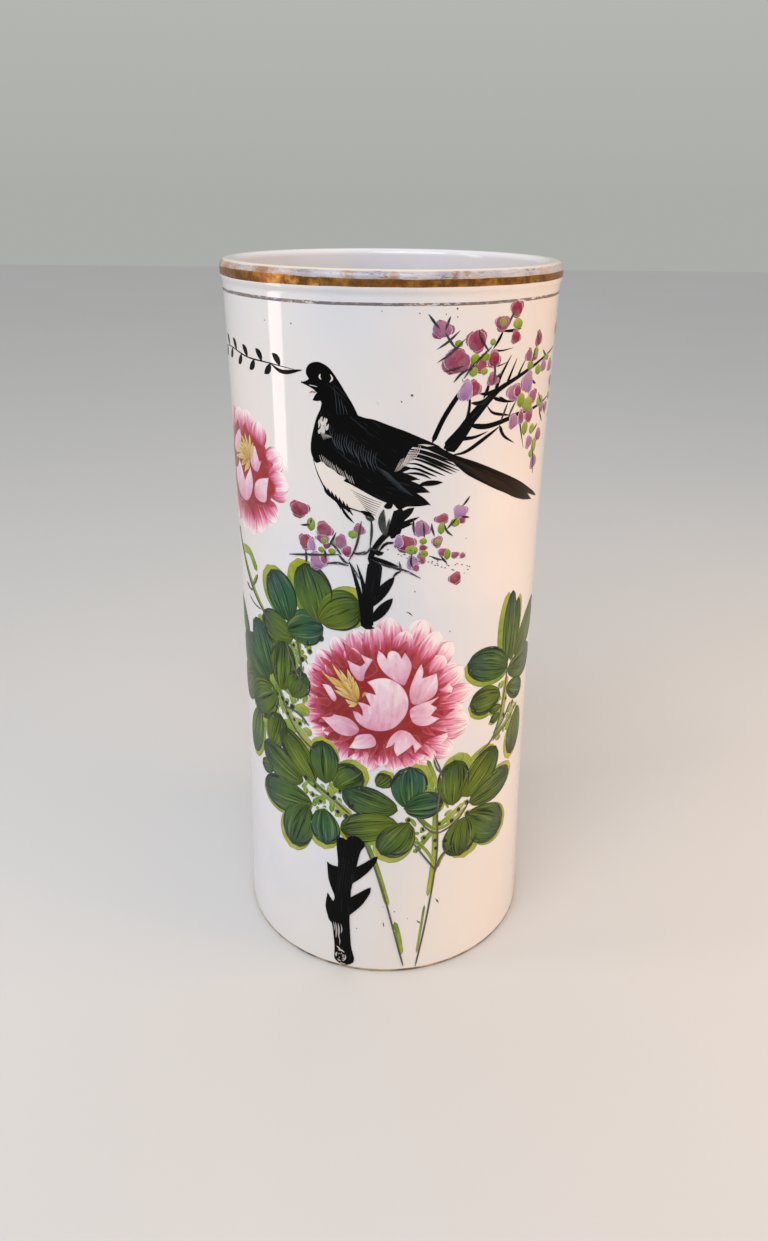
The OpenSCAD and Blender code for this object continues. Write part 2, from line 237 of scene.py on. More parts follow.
@dataclass(frozen=True)
class Glaze:
    """Clear glaze over white porcelain, with iron specks and a hand-turned ripple."""

    body: str = "dcdce1"
    cool: str = "d3d7df"
    warm: str = "e0dbd6"
    speck: str = "4b4038"
    smudge: str = "8f8c90"
    roughness: float = 0.07
    ripple: float = 0.09 * MM

    def base(self, tree: Tree) -> Socket:
        """Returns the colour of the bare glaze, for enamels that thin out over it."""
        place = tree.place()
        clouds = tree.step(tree.noise(place, 22, 3), 0.35, 0.65)
        drift = tree.step(tree.noise(place, 9, 1), 0.35, 0.7)
        return tree.mix(drift, tree.mix(clouds, paint(self.body), paint(self.cool)), paint(self.warm))

    def relief(self, tree: Tree) -> Socket:
        """Returns the normal of the ripple that turning left in the wall."""
        wave = tree.bump(tree.noise(tree.squash((1, 1, 2.2)), 34, 1.5), self.ripple)
        return tree.bump(tree.noise(tree.place(), 900, 1), self.ripple * 0.05, under=wave)

    def make(self) -> bpy.types.Material:
        """Wires the glaze.

        Returns:
            The material.
        """
        tree = Tree("porcelain_glaze")
        place = tree.place()
        cells = tree.add("TexVoronoi", {"Vector": place, "Scale": 95.0, "Randomness": 1.0})
        dice = tree.add("SeparateColor", {0: cells.outputs["Color"]})
        pick = tree.step(dice.outputs[0], 0.86, 0.9)
        size = tree.math("ADD", tree.times(dice.outputs[1], 0.05), 0.012)
        dot = tree.math("LESS_THAN", cells.outputs["Distance"], size)
        fine = tree.noise(tree.squash((1, 1, 0.55)), 130, 4, 0.7)
        smear = tree.times(tree.step(fine, 0.69, 0.76), 0.35)
        bare = tree.mix(smear, self.base(tree), paint(self.smudge))
        colour = tree.mix(tree.times(dot, pick, 0.8), bare, paint(self.speck))
        return tree.finish({
            "Base Color": colour, "Roughness": self.roughness, "IOR": 1.5, "Normal": self.relief(tree),
            "Coat Weight": 0.35, "Coat Roughness": 0.03, "Coat IOR": 1.5})


@dataclass(frozen=True)
class BareClay:
    """The unglazed, table-rubbed edge of the foot."""

    clay: str = "b9a284"
    dirt: str = "6b5640"
    roughness: float = 0.8

    def make(self) -> bpy.types.Material:
        """Wires the clay.

        Returns:
            The material.
        """
        tree = Tree("bare_foot")
        grit = tree.noise(tree.place(), 1400, 3)
        stain = tree.step(tree.noise(tree.place(), 120, 4, 0.65), 0.38, 0.62)
        return tree.finish({
            "Base Color": tree.mix(stain, paint(self.clay), paint(self.dirt)),
            "Roughness": self.roughness, "Normal": tree.bump(grit, 0.08 * MM)})


@dataclass
class Pot:
    """The fired vase: wall, lip, base and foot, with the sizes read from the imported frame."""

    segments: int = 256
    band: float = 6 * MM
    lip_out: float = 0.7 * MM
    lip_roll: float = 2.6 * MM
    inner_roll: float = 2.4 * MM
    foot_chamfer: float = 1.2 * MM
    foot_ease: float = 0.4 * MM
    crease: float = math.radians(34)

    def __post_init__(self) -> None:
        """Reads the frame's own heights and radii."""
        wall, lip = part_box("body_wall"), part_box("rolled_lip")
        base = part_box("base_disc")
        self.height, self.bare_edge = lip[1].z, wall[0].z
        self.foot_height, self.floor = base[0].z, base[1].z
        self.seat_r, self.lip_joint = base[1].x, lip[0].z
        self.lip_edge = wall[1].z
        rings = self.ring_radii("body_wall")
        self.bore_r = min(r for r, z in rings)
        self.foot_in_r = min(r for r, z in self.ring_radii("foot_ring"))
        outer = {z: r for r, z in rings if r > self.seat_r + self.lip_out}
        heights = sorted(outer)
        self.curve = np.polyfit(heights, [outer[z] for z in heights], 2)

    @staticmethod
    def ring_radii(node: str) -> list[tuple[float, float]]:
        """Lists the radius and height of a turned node's corners, without repeats."""
        corners = {(round(math.hypot(v.co.x, v.co.y), 6), round(v.co.z, 6))
                   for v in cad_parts[node].data.vertices}
        return sorted(corners)

    def radius(self, z: float | np.ndarray) -> float | np.ndarray:
        """Gives the outside radius of the wall at a height."""
        return np.polyval(self.curve, z)

    @property
    def lip_r(self) -> float:
        """The outside radius of the lip."""
        return float(self.radius(self.lip_edge)) + self.lip_out

    @staticmethod
    def arc(centre: Point, r: float, start: float, stop: float, steps: int = 8) -> list[Point]:
        """Lists the points of an arc of a profile, from one angle in degrees to another."""
        turn = [math.radians(start + (stop - start) * i / steps) for i in range(steps + 1)]
        return [(centre[0] + r * math.cos(a), centre[1] + r * math.sin(a)) for a in turn]

    def turned(self, name: str, profile: list[Point]) -> bpy.types.Object:
        """Turns a closed profile round the vase's axis.

        Args:
            name: Name of the piece.
            profile: Radius and height of each corner, round the section once.

        Returns:
            The turned piece.
        """
        deselect()
        radius, height = profile[0]
        bpy.ops.mesh.primitive_circle_add(vertices=self.segments, radius=radius, location=(0, 0, height))
        piece = newest(name)
        bpy.ops.object.mode_set(mode="EDIT")
        bpy.ops.mesh.select_all(action="SELECT")
        for r, z in profile[1:] + profile[:1]:
            bpy.ops.mesh.extrude_edges_move(TRANSFORM_OT_translate={"value": (0, 0, z - height)})
            bpy.ops.transform.resize(value=(r / radius, r / radius, 1), center_override=(0, 0, z))
            radius, height = r, z
        bpy.ops.mesh.select_all(action="SELECT")
        bpy.ops.mesh.remove_doubles(threshold=1e-6)
        bpy.ops.mesh.normals_make_consistent(inside=False)
        bpy.ops.object.mode_set(mode="OBJECT")
        centre_origin(piece)
        bpy.ops.object.shade_smooth_by_angle(angle=self.crease)
        return piece

    def wall_profile(self) -> list[Point]:
        """Lists the wall's section: up the outside in even bands, and down the bore."""
        count = math.ceil((self.lip_edge - self.bare_edge) / self.band)
        levels = [self.bare_edge + (self.lip_edge - self.bare_edge) * i / count for i in range(count + 1)]
        inner = [self.lip_joint - (self.lip_joint - self.floor) * i / count for i in range(count + 1)]
        return ([(self.seat_r, self.bare_edge)] + [(float(self.radius(z)), z) for z in levels]
                + [(self.bore_r, z) for z in inner] + [(self.seat_r, self.floor)])

    def lip_profile(self) -> list[Point]:
        """Lists the lip's section, with its outer and inner rolls."""
        outer = self.arc((self.lip_r - self.lip_roll, self.height - self.lip_roll), self.lip_roll, 0, 90)
        inner = self.arc((self.bore_r + self.inner_roll, self.height - self.inner_roll), self.inner_roll,
                         90, 180)
        root = float(self.radius(self.lip_edge))
        swell = [(root + self.lip_out * (1 - math.cos(math.pi * i / 5)) / 2, self.lip_edge + i * 0.5 * MM)
                 for i in range(6)]
        return [(self.bore_r, self.lip_joint)] + swell + outer + inner

    def foot_profile(self) -> list[Point]:
        """Lists the foot ring's section, with its rubbed outer edge."""
        edge = float(self.radius(self.bare_edge))
        c = self.foot_chamfer
        rubbed = self.arc((edge - c, c), c, -90, 0, 5)
        return [(self.foot_in_r + self.foot_ease, 0), *rubbed, (edge, self.bare_edge),
                (self.seat_r, self.bare_edge), (self.seat_r, self.foot_height),
                (self.foot_in_r, self.foot_height), (self.foot_in_r, self.foot_ease)]

    def base_piece(self) -> bpy.types.Object:
        """Makes the base disc, dished a little by the turning tool on both faces."""
        deselect()
        thick = self.floor - self.foot_height
        bpy.ops.mesh.primitive_cylinder_add(vertices=self.segments // 2, radius=self.seat_r, depth=thick,
                                            location=(0, 0, self.foot_height + thick / 2))
        piece = newest("vase_base")
        bpy.ops.object.mode_set(mode="EDIT")
        for side in (-1, 1):
            for inset, sink in ((self.seat_r - self.bore_r + 1.2 * MM, 0), (12 * MM, -0.35 * MM),
                                (22 * MM, -0.25 * MM), (14 * MM, 0.1 * MM)):
                self.pick_inner_face(piece, side)
                bpy.ops.mesh.inset(thickness=inset, depth=sink)
        bpy.ops.object.mode_set(mode="OBJECT")
        centre_origin(piece)
        bpy.ops.object.shade_smooth_by_angle(angle=self.crease)
        return piece

    @staticmethod
    def pick_inner_face(piece: bpy.types.Object, side: int) -> None:
        """Selects the many-sided face that looks up (side 1) or down (side -1)."""
        bpy.ops.mesh.select_all(action="DESELECT")
        bpy.ops.object.mode_set(mode="OBJECT")
        for face in piece.data.polygons:
            face.select = len(face.vertices) > 4 and face.normal.z * side > 0.9
        bpy.ops.object.mode_set(mode="EDIT")

    def build(self, glaze: Glaze, clay: BareClay) -> None:
        """Builds and dresses the four ceramic pieces.

        Args:
            glaze: Finish of the glazed pieces.
            clay: Finish of the foot.
        """
        shiny, raw = glaze.make(), clay.make()
        dress(self.turned("vase_wall", self.wall_profile()), shiny, "porcelain_glaze", "body_wall")
        worn = WornLitLip().make(glaze, self.height, self.lip_r, self.lip_roll)
        dress(self.turned("vase_lip", self.lip_profile()), worn, "porcelain_glaze", "rolled_lip")
        dress(self.base_piece(), shiny, "porcelain_glaze", "base_disc")
        dress(self.turned("vase_foot", self.foot_profile()), raw, "bare_foot", "foot_ring")


# Brush: strokes and washes laid on the wall ---------------------------------------


class Form(Enum):
    """How a stroke's width runs from its root to its tip."""

    REED = "thin at both ends"
    LEAF = "narrow at the root, full, with a short tip"
    DAB = "a round dab"
    TAPER = "full at the root, drawn out to a point"
    RIBBON = "even, with round ends"
    PETAL = "narrow at the root, broad and round at the tip"

    def width(self, v: np.ndarray) -> np.ndarray:
        """Gives the share of the full width at places from 0, the root, to 1, the tip."""
        if self is Form.REED:
            return np.sin(np.pi * v) ** 0.7
        if self is Form.LEAF:
            return np.sin(np.pi * v ** 1.18) ** 0.46
        if self is Form.DAB:
            return np.sqrt(np.clip(1 - (2 * v - 1) ** 2, 0, 1))
        if self is Form.TAPER:
            return np.clip(v / 0.07, 0, 1) ** 0.5 * (1 - v) ** 0.65
        if self is Form.RIBBON:
            return np.sqrt(np.clip(1 - (2 * v - 1) ** 16, 0, 1))
        rise = 0.42 + 0.58 * np.sin(np.clip(v / 0.62, 0, 1) * np.pi / 2) ** 1.3
        fall = np.sqrt(np.clip(1 - ((v - 0.62) / 0.38) ** 2, 0, 1))
        return np.where(v < 0.62, rise, fall)


def flowing(points: Line, count: int) -> np.ndarray:
    """Runs a smooth line through a stroke's points.

    Args:
        points: Two or more places round the wall and up it.
        count: How many even steps to return it in.

    Returns:
        The line's places, count + 1 of them.
    """
    p = np.array(points, float)
    p = np.vstack([2 * p[0] - p[1], p, 2 * p[-1] - p[-2]])
    t = np.linspace(0, 1, 12, endpoint=False)[:, None]
    runs = []
    for a, b, c, d in zip(p, p[1:], p[2:], p[3:]):
        runs.append(0.5 * (2 * b + (c - a) * t + (2 * a - 5 * b + 4 * c - d) * t ** 2
                           + (3 * b - a - 3 * c + d) * t ** 3))
    line = np.vstack(runs + [p[-2:-1]])
    gone = np.concatenate([[0], np.cumsum(np.hypot(*np.diff(line, axis=0).T))])
    even = np.linspace(0, gone[-1], count + 1)
    return np.column_stack([np.interp(even, gone, line[:, k]) for k in (0, 1)])


class Wall:
    """The painted wall: where a place of the painting lies, and how thick the enamel is there."""

    art_r = 60.0        # millimetres round the wall for each radian
    first_coat = 0.03   # relief of the first coat, in millimetres
    coat = 0.012        # how much each coat over another adds
    cell = 0.5          # size of the cells that coats are counted in
    reach = (-190, 190)
    height = (0, 281)

    def __init__(self, pot: Pot) -> None:
        """Starts a bare wall."""
        self.pot = pot
        self.coats = np.zeros((int((self.reach[1] - self.reach[0]) / self.cell),
                               int((self.height[1] - self.height[0]) / self.cell)), int)

    def lay(self, places: np.ndarray) -> float:
        """Counts a coat over the coats that it crosses.

        Args:
            places: Places that the coat covers, closely spaced.

        Returns:
            The coat's relief in millimetres.
        """
        s = ((places[:, 0] - self.reach[0]) / self.cell).astype(int).clip(1, self.coats.shape[0] - 2)
        z = ((places[:, 1] - self.height[0]) / self.cell).astype(int).clip(1, self.coats.shape[1] - 2)
        over = 1 + self.coats[s, z].max()
        self.coats[s, z] = over
        return self.first_coat + self.coat * (over - 1)

    def wrap(self, s: np.ndarray, z: np.ndarray, lift: np.ndarray) -> np.ndarray:
        """Gives places in space, in metres, for places of the painting in millimetres."""
        angle = s / self.art_r
        r = self.pot.radius(z * MM) + lift * MM
        return np.column_stack([r * np.sin(angle), -r * np.cos(angle), z * MM])


class Motif:
    """One painted piece, gathered from strokes and washes and then made solid."""

    def __init__(self, name: str, wall: Wall, seed: int = 1) -> None:
        """Starts an empty motif with its own random hand."""
        self.name, self.wall = name, wall
        self.hand = np.random.default_rng(seed)
        self.spots, self.faces, self.maps, self.marks = [], [], [], []
        self.lifts = []
        self.count = 0

    def keep(self, s: np.ndarray, z: np.ndarray, lift: np.ndarray, faces: list, x: np.ndarray, y: np.ndarray,
             tint: float, length: float, edge: np.ndarray) -> None:
        """Adds a stroke or wash to the motif.

        Args:
            s: Places round the wall.
            z: Heights.
            lift: How far each place stands out from the wall.
            faces: Places of each face.
            x: Where each place lies across the brush, in centimetres.
            y: How far along the stroke it lies, in centimetres.
            tint: Where the colour lies between the finish's two.
            length: The stroke's length.
            edge: How far each place lies from the stroke's edge.
        """
        n = len(s)
        seed = self.hand.random()
        self.spots.append(self.wall.wrap(s, z, lift))
        self.faces += [tuple(i + self.count for i in face) for face in faces]
        self.maps.append(np.column_stack([x, y]))
        self.marks.append(np.column_stack([np.full(n, seed), np.full(n, tint), np.full(n, length / 50),
                                           np.clip(np.asarray(edge) / 5, 0, 1)]))
        self.lifts.append(lift.max())
        self.count += n

    def stroke(self, points: Line, width: float, form: Form = Form.REED, tint: float = 0.0,
               pitch: float = 1.6, dome: float = 0.0) -> None:
        """Draws one stroke of a loaded brush.

        Args:
            points: Places that the stroke runs through, from its root to its tip.
            width: Its full width.
            form: How the width runs along it.
            tint: Where its colour lies between the finish's two.
            pitch: Size of the mesh's steps.
            dome: How much higher the enamel stands in the middle.
        """
        rough = flowing(points, 8)
        length = float(np.hypot(*np.diff(rough, axis=0).T).sum())
        along = int(np.clip(round(length / pitch), 5, 90))
        across = int(np.clip(round(width / pitch / 2), 1, 6)) * 2
        rows = flowing(points, along)
        v = np.linspace(0, 1, along + 1)
        way = np.gradient(rows, axis=0)
        way /= np.maximum(np.hypot(way[:, 0], way[:, 1]), 1e-9)[:, None]
        side = np.column_stack([way[:, 1], -way[:, 0]])
        half = np.maximum(form.width(v) * width / 2, 0.05)
        u = np.linspace(-1, 1, across + 1)
        s = rows[:, :1] + side[:, :1] * half[:, None] * u
        z = rows[:, 1:] + side[:, 1:] * half[:, None] * u
        dense = max(1, math.ceil(width / across / 0.4)), max(1, math.ceil(length / along / 0.4))
        cover = self.dense(s, z, dense)
        lift = self.wall.lay(cover) + dome * (1 - u ** 2)[None, :] * (half / half.max())[:, None]
        n = across + 1
        faces = [(i * n + j, i * n + j + 1, (i + 1) * n + j + 1, (i + 1) * n + j)
                 for i in range(along) for j in range(across)]
        x = np.broadcast_to(u * width / 20, s.shape)
        y = np.broadcast_to((v * length / 10)[:, None], s.shape)
        edge = half[:, None] * (1 - np.abs(u))
        self.keep(s.ravel(), z.ravel(), (lift + 0 * s).ravel(), faces, x.ravel(), y.ravel(), tint, length,
                  edge.ravel())

    @staticmethod
    def dense(s: np.ndarray, z: np.ndarray, times: tuple[int, int]) -> np.ndarray:
        """Fills a grid of places in between its rows and columns."""
        rows = np.linspace(0, s.shape[0] - 1, (s.shape[0] - 1) * times[1] + 1)
        cols = np.linspace(0, s.shape[1] - 1, (s.shape[1] - 1) * times[0] + 1)
        out = []
        for a in (s, z):
            b = np.array([np.interp(cols, np.arange(a.shape[1]), row) for row in a])
            out.append(np.array([np.interp(rows, np.arange(a.shape[0]), col) for col in b.T]).T.ravel())
        return np.column_stack(out)

    def wash(self, outline: Sequence[tuple], base: Point, tip: Point, tint: float = 0.0,
             pitch: float = 1.8) -> None:
        """Fills an outline.

        Args:
            outline: Places round it. One that ends in C is a corner, and the line flows through the rest.
            base: Where the brush map starts.
            tip: Where the brush map ends.
            tint: Where its colour lies between the finish's two.
            pitch: Size of the mesh's steps inside.
        """
        ring = self.rounded(outline, 0.7)
        turn = np.roll(ring, -1, axis=0)
        if (ring[:, 0] * turn[:, 1] - turn[:, 0] * ring[:, 1]).sum() < 0:
            ring = ring[::-1]
        low, high = ring.min(0), ring.max(0)
        grid = np.stack(np.meshgrid(np.arange(low[0], high[0], pitch), np.arange(low[1], high[1], pitch)), -1)
        grid = grid.reshape(-1, 2) + pitch / 2
        deep = self.inside(ring, grid) * self.off_edge(ring, grid)
        points = np.vstack([ring, grid[deep > 0.45 * pitch]])
        n = len(ring)
        found = geometry.delaunay_2d_cdt([Vector(p) for p in points], [(i, (i + 1) % n) for i in range(n)],
                                         [], 1, 1e-5)
        at = np.array([p[:] for p in found[0]])
        fine = np.stack(np.meshgrid(np.arange(low[0], high[0], 0.4), np.arange(low[1], high[1], 0.4)), -1)
        fine = fine.reshape(-1, 2)
        lift = self.wall.lay(np.vstack([ring, fine[self.inside(ring, fine)]]))
        axis = np.array(tip, float) - base
        length = float(np.hypot(*axis))
        axis /= length
        away = at - base
        x, y = (away @ (axis[1], -axis[0])) / 10, (away @ axis) / 10
        faces = [tuple(f) if self.turns_left(at[list(f)]) else tuple(f)[::-1] for f in found[2]]
        self.keep(at[:, 0], at[:, 1], np.full(len(at), lift), faces, x, y, tint, length,
                  self.off_edge(ring, at))

    @staticmethod
    def turns_left(corners: np.ndarray) -> bool:
        """Tells whether three or more corners run anticlockwise."""
        nxt = np.roll(corners, -1, axis=0)
        return (corners[:, 0] * nxt[:, 1] - nxt[:, 0] * corners[:, 1]).sum() > 0

    @staticmethod
    def rounded(outline: Sequence[tuple], step: float) -> np.ndarray:
        """Lets an outline flow between its corners."""
        n = len(outline)
        corners = [i for i, p in enumerate(outline) if len(p) > 2] or [0]
        sharp = len(outline[corners[0]]) > 2
        runs = []
        for k, i in enumerate(corners):
            j = corners[(k + 1) % len(corners)]
            count = (j - i) % n or n
            run = [outline[(i + m) % n][:2] for m in range(count + 1)]
            if not sharp:
                run = [outline[(i - 1) % n][:2]] + run + [outline[(i + 1) % n][:2]]
            length = np.hypot(*np.diff(np.array(run, float), axis=0).T).sum()
            line = flowing(run, max(2 * count, int(length / step)))
            if not sharp:
                gap = np.hypot(*(line - np.array(outline[i][:2])).T)
                half = len(line) // 2
                line = line[int(gap[:half].argmin()):half + int(gap[half:].argmin()) + 1]
            runs.append(line[:-1])
        return np.vstack(runs)

    @staticmethod
    def inside(ring: np.ndarray, places: np.ndarray) -> np.ndarray:
        """Tells which places lie inside a ring."""
        found = np.zeros(len(places), bool)
        for a, b in zip(ring, np.roll(ring, -1, axis=0)):
            spans = (a[1] > places[:, 1]) != (b[1] > places[:, 1])
            cross = a[0] + (places[:, 1] - a[1]) * (b[0] - a[0]) / (b[1] - a[1] if b[1] != a[1] else 1e-12)
            found ^= spans & (places[:, 0] < cross)
        return found

    @staticmethod
    def off_edge(ring: np.ndarray, places: np.ndarray) -> np.ndarray:
        """Measures how far places lie from a ring's line."""
        best = np.full(len(places), 1e9)
        for a, b in zip(ring, np.roll(ring, -1, axis=0)):
            d = b - a
            t = np.clip(((places - a) @ d) / max(d @ d, 1e-12), 0, 1)
            best = np.minimum(best, np.hypot(*(places - a - t[:, None] * d).T))
        return best

    def make(self) -> bpy.types.Object:
        """Makes the motif solid, with its underside just inside the wall.

        Returns:
            The piece.
        """
        mesh = bpy.data.meshes.new(self.name)
        mesh.from_pydata(np.vstack(self.spots).tolist(), [], self.faces)
        brush = mesh.uv_layers.new(name="brush")
        corner = np.empty(len(mesh.loops), int)
        mesh.loops.foreach_get("vertex_index", corner)
        brush.data.foreach_set("uv", np.vstack(self.maps)[corner].astype(np.float32).ravel())
        marks = mesh.attributes.new("stroke", "FLOAT_COLOR", "POINT")
        marks.data.foreach_set("color", np.vstack(self.marks).astype(np.float32).ravel())
        piece = bpy.data.objects.new(self.name, mesh)
        bpy.context.scene.collection.objects.link(piece)
        deselect()
        piece.select_set(True)
        bpy.context.view_layer.objects.active = piece
        bpy.ops.object.modifier_add(type="SOLIDIFY")
        body = piece.modifiers[-1]
        body.thickness = (max(self.lifts) + 0.02) * MM
        body.offset = -1
        bpy.ops.object.modifier_apply(modifier=body.name)
        bpy.ops.object.shade_smooth_by_angle(angle=math.radians(40))
        return piece


def lay(motif: Motif, enamels: dict, slot: str, *nodes: str) -> None:
    """Finishes a motif and dresses it in its enamel.

    Args:
        motif: The painted piece.
        enamels: The materials by slot.
        slot: The enamel's slot.
        *nodes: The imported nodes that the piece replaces.
    """
    dress(motif.make(), enamels[slot], slot, *nodes)


# Finishes laid with the brush -----------------------------------------------------


@dataclass(frozen=True)
class Enamel:
    """An overglaze enamel as the brush leaves it.

    The colour runs along the stroke, between two ranges picked by the stroke's tint, is combed by the
    brush's hairs, darkens where it pools at the edge and thins out to the glaze where the brush ran dry.
    """

    slot: str
    along: tuple
    other: tuple
    hairs: float = 26.0
    stretch: float = 2.5
    ragged: float = 0.25
    light: str = "ffffff"
    light_share: float = 0.0
    light_at: float = 0.62
    dark: str = "101010"
    dark_share: float = 0.0
    dark_at: float = 0.4
    rim: str = "101010"
    rim_share: float = 0.0
    rim_mm: float = 0.4
    rim_until: float = 2.0      # share of the length where the rim has faded
    soft_mm: float = 0.0
    dry: float = 0.0
    blot: float = 0.3
    roughness: float = 0.2
    gloss: float = 0.4
    relief: float = 0.04 * MM

    def make(self, glaze: Glaze) -> bpy.types.Material:
        """Wires the enamel.

        Args:
            glaze: The glaze under it.

        Returns:
            The material.
        """
        tree = Tree(self.slot)
        mark = tree.add("Attribute", attribute_name="stroke")
        seed, tint, length = tree.add("SeparateColor", {0: mark.outputs["Color"]}).outputs
        edge = tree.times(mark.outputs["Alpha"], 5.0)
        across, run, _ = tree.add("SeparateXYZ", {0: tree.add("UVMap", uv_map="brush").outputs[0]}).outputs
        comb = tree.add("CombineXYZ", {0: tree.times(across, self.hairs), 1: tree.times(run, self.stretch),
                                       2: tree.times(seed, 91.0)}).outputs[0]
        hair = tree.noise(comb, 1.0, 3.0, 0.6)
        shift = tree.times(tree.math("SUBTRACT", hair, 0.5), self.ragged * 2)
        spot = tree.math("ADD", tree.math("DIVIDE", run, tree.times(length, 5.0)), shift)
        colour = tree.mix(tint, tree.ramp(spot, self.along), tree.ramp(spot, self.other))
        if self.light_share:
            lines = tree.step(hair, self.light_at, self.light_at + 0.08)
            colour = tree.mix(tree.times(lines, self.light_share), colour, paint(self.light))
        if self.dark_share:
            lines = tree.step(hair, self.dark_at + 0.08, self.dark_at)
            colour = tree.mix(tree.times(lines, self.dark_share), colour, paint(self.dark))
        clouds = tree.times(tree.step(tree.noise(tree.place(), 260, 3.0), 0.4, 0.62), self.blot)
        colour = tree.mix(clouds, colour, tree.mix(0.5, colour, glaze.base(tree)))
        if self.rim_share:
            pool = tree.times(tree.step(edge, self.rim_mm, self.rim_mm * 0.2), self.rim_share,
                              tree.step(spot, self.rim_until, self.rim_until - 0.35))
            colour = tree.mix(pool, colour, paint(self.rim))
        if self.soft_mm:
            fray = tree.math("ADD", edge, tree.times(shift, self.soft_mm))
            colour = tree.mix(tree.step(fray, self.soft_mm, 0.0), colour, glaze.base(tree))
        if self.dry:
            bare = tree.step(hair, 0.66 - self.dry * 0.3, 0.72 - self.dry * 0.3)
            grain = tree.times(tree.step(tree.noise(tree.place(), 1500, 2), 0.4, 0.6), 0.5)
            colour = tree.mix(tree.times(bare, tree.math("ADD", 0.35, grain)), colour, glaze.base(tree))
        height = tree.math("ADD", tree.times(hair, 0.6), tree.step(edge, 0.0, 0.6))
        return tree.finish({
            "Base Color": colour, "Roughness": self.roughness, "IOR": 1.5, "Specular IOR Level": self.gloss,
            "Normal": tree.bump(height, self.relief, under=glaze.relief(tree))})


# Gilding --------------------------------------------------------------------------


@dataclass(frozen=True)
class Gold:
    """Brushed gold that has browned and rubbed through to the glaze."""

    slot: str
    brown: str
    bright: str
    bare: str
    rubbed: float       # share of the gold that is gone
    metal: float = 0.7
    roughness: float = 0.33

    def make(self, glaze: Glaze) -> bpy.types.Material:
        """Wires the gold.

        Args:
            glaze: The glaze under it.

        Returns:
            The material.
        """
        tree = Tree(self.slot)
        place = tree.place()
        mottle = tree.step(tree.noise(place, 210, 4, 0.65), 0.42, 0.66)
        patch = tree.step(tree.noise(place, 38, 3, 0.6), 0.4, 0.62)
        scuffs = tree.noise(tree.squash((1, 1, 3.2)), 420, 4, 0.7)
        worn = tree.step(scuffs, 0.72 - self.rubbed, 0.78 - self.rubbed)
        gone = tree.times(worn, tree.math("ADD", 0.25, tree.times(patch, 0.75)))
        glow = tree.times(mottle, tree.math("ADD", 0.35, tree.times(patch, 0.6)))
        gold = tree.mix(glow, paint(self.brown), paint(self.bright))
        return tree.finish({
            "Base Color": tree.mix(gone, gold, paint(self.bare)),
            "Metallic": tree.times(tree.math("SUBTRACT", 1.0, gone), self.metal),
            "Roughness": tree.math("ADD", self.roughness, tree.times(mottle, 0.12)),
            "Normal": tree.bump(tree.noise(place, 900, 3), 0.05 * MM, under=glaze.relief(tree))})


@dataclass(frozen=True)
class WornLitLip:
    """The lip's glaze: a painted cream highlight on its top edge, where light from above catches the roll,
    and a greyed, scratched wash where gold has gone outside.
    """

    # colour of the painted highlight on the lip's top edge
    cream: str = "e8d6bc"
    wash: str = "a4a1aa"
    scratch: str = "4c464a"
    gold: str = "94662c"

    def make(self, glaze: Glaze, top: float, lip_r: float, roll: float) -> bpy.types.Material:
        """Wires the lip.

        Args:
            glaze: The vase's glaze.
            top: Height of the lip.
            lip_r: Its outside radius.
            roll: Radius of its outer roll.

        Returns:
            The material.
        """
        tree = Tree("worn_lit_lip")
        place = tree.place()
        x, y, z = tree.add("SeparateXYZ", {0: place}).outputs
        r = tree.math("SQRT", tree.math("ADD", tree.times(x, x), tree.times(y, y)))
        angle = tree.math("ARCTAN2", x, y)
        depth = tree.math("SUBTRACT", top, z)
        waver = tree.times(tree.math("SUBTRACT", tree.noise(place, 120, 3), 0.5), 1.2 * MM)
        zone = tree.times(tree.step(r, lip_r - 1.7 * MM, lip_r - 0.9 * MM),
                          tree.step(tree.math("ADD", depth, waver), roll + 1.0 * MM, roll + 0.5 * MM))
        round_lip = tree.add("CombineXYZ", {0: tree.times(angle, 9.0), 1: tree.times(depth, 900.0), 2: 3.0})
        scored = tree.step(tree.noise(round_lip.outputs[0], 1.6, 5, 0.75, 0.4), 0.52, 0.62)
        flecks = tree.times(tree.step(tree.noise(place, 160, 3, 0.7), 0.56, 0.62), 0.85)
        kept = tree.times(tree.step(angle, -2.75, -2.45), tree.step(angle, -1.0, -1.3),
                          tree.step(tree.noise(place, 230, 3, 0.7), 0.36, 0.5))
        wash = tree.mix(scored, paint(self.wash), paint(self.scratch))
        wash = tree.mix(tree.math("MAXIMUM", flecks, kept), wash, paint(self.gold))
        cloud = tree.math("ADD", 0.6, tree.times(tree.step(tree.noise(place, 90, 3), 0.35, 0.65), 0.4))
        colour = tree.mix(tree.times(zone, cloud), glaze.base(tree), wash)
        # Painted highlight: the top of the outer roll is lightened to cream, as if lit from above.
        crest_highlight = tree.times(tree.step(depth, 0.8 * MM, 0.15 * MM),
                           tree.step(r, lip_r - 4.6 * MM, lip_r - 3.2 * MM), 0.8)
        return tree.finish({
            "Base Color": tree.mix(crest_highlight, colour, paint(self.cream)),
            "Roughness": tree.math("ADD", glaze.roughness, tree.times(zone, 0.22)), "IOR": 1.5,
            "Normal": glaze.relief(tree), "Coat Weight": 0.2, "Coat Roughness": 0.05, "Coat IOR": 1.5})


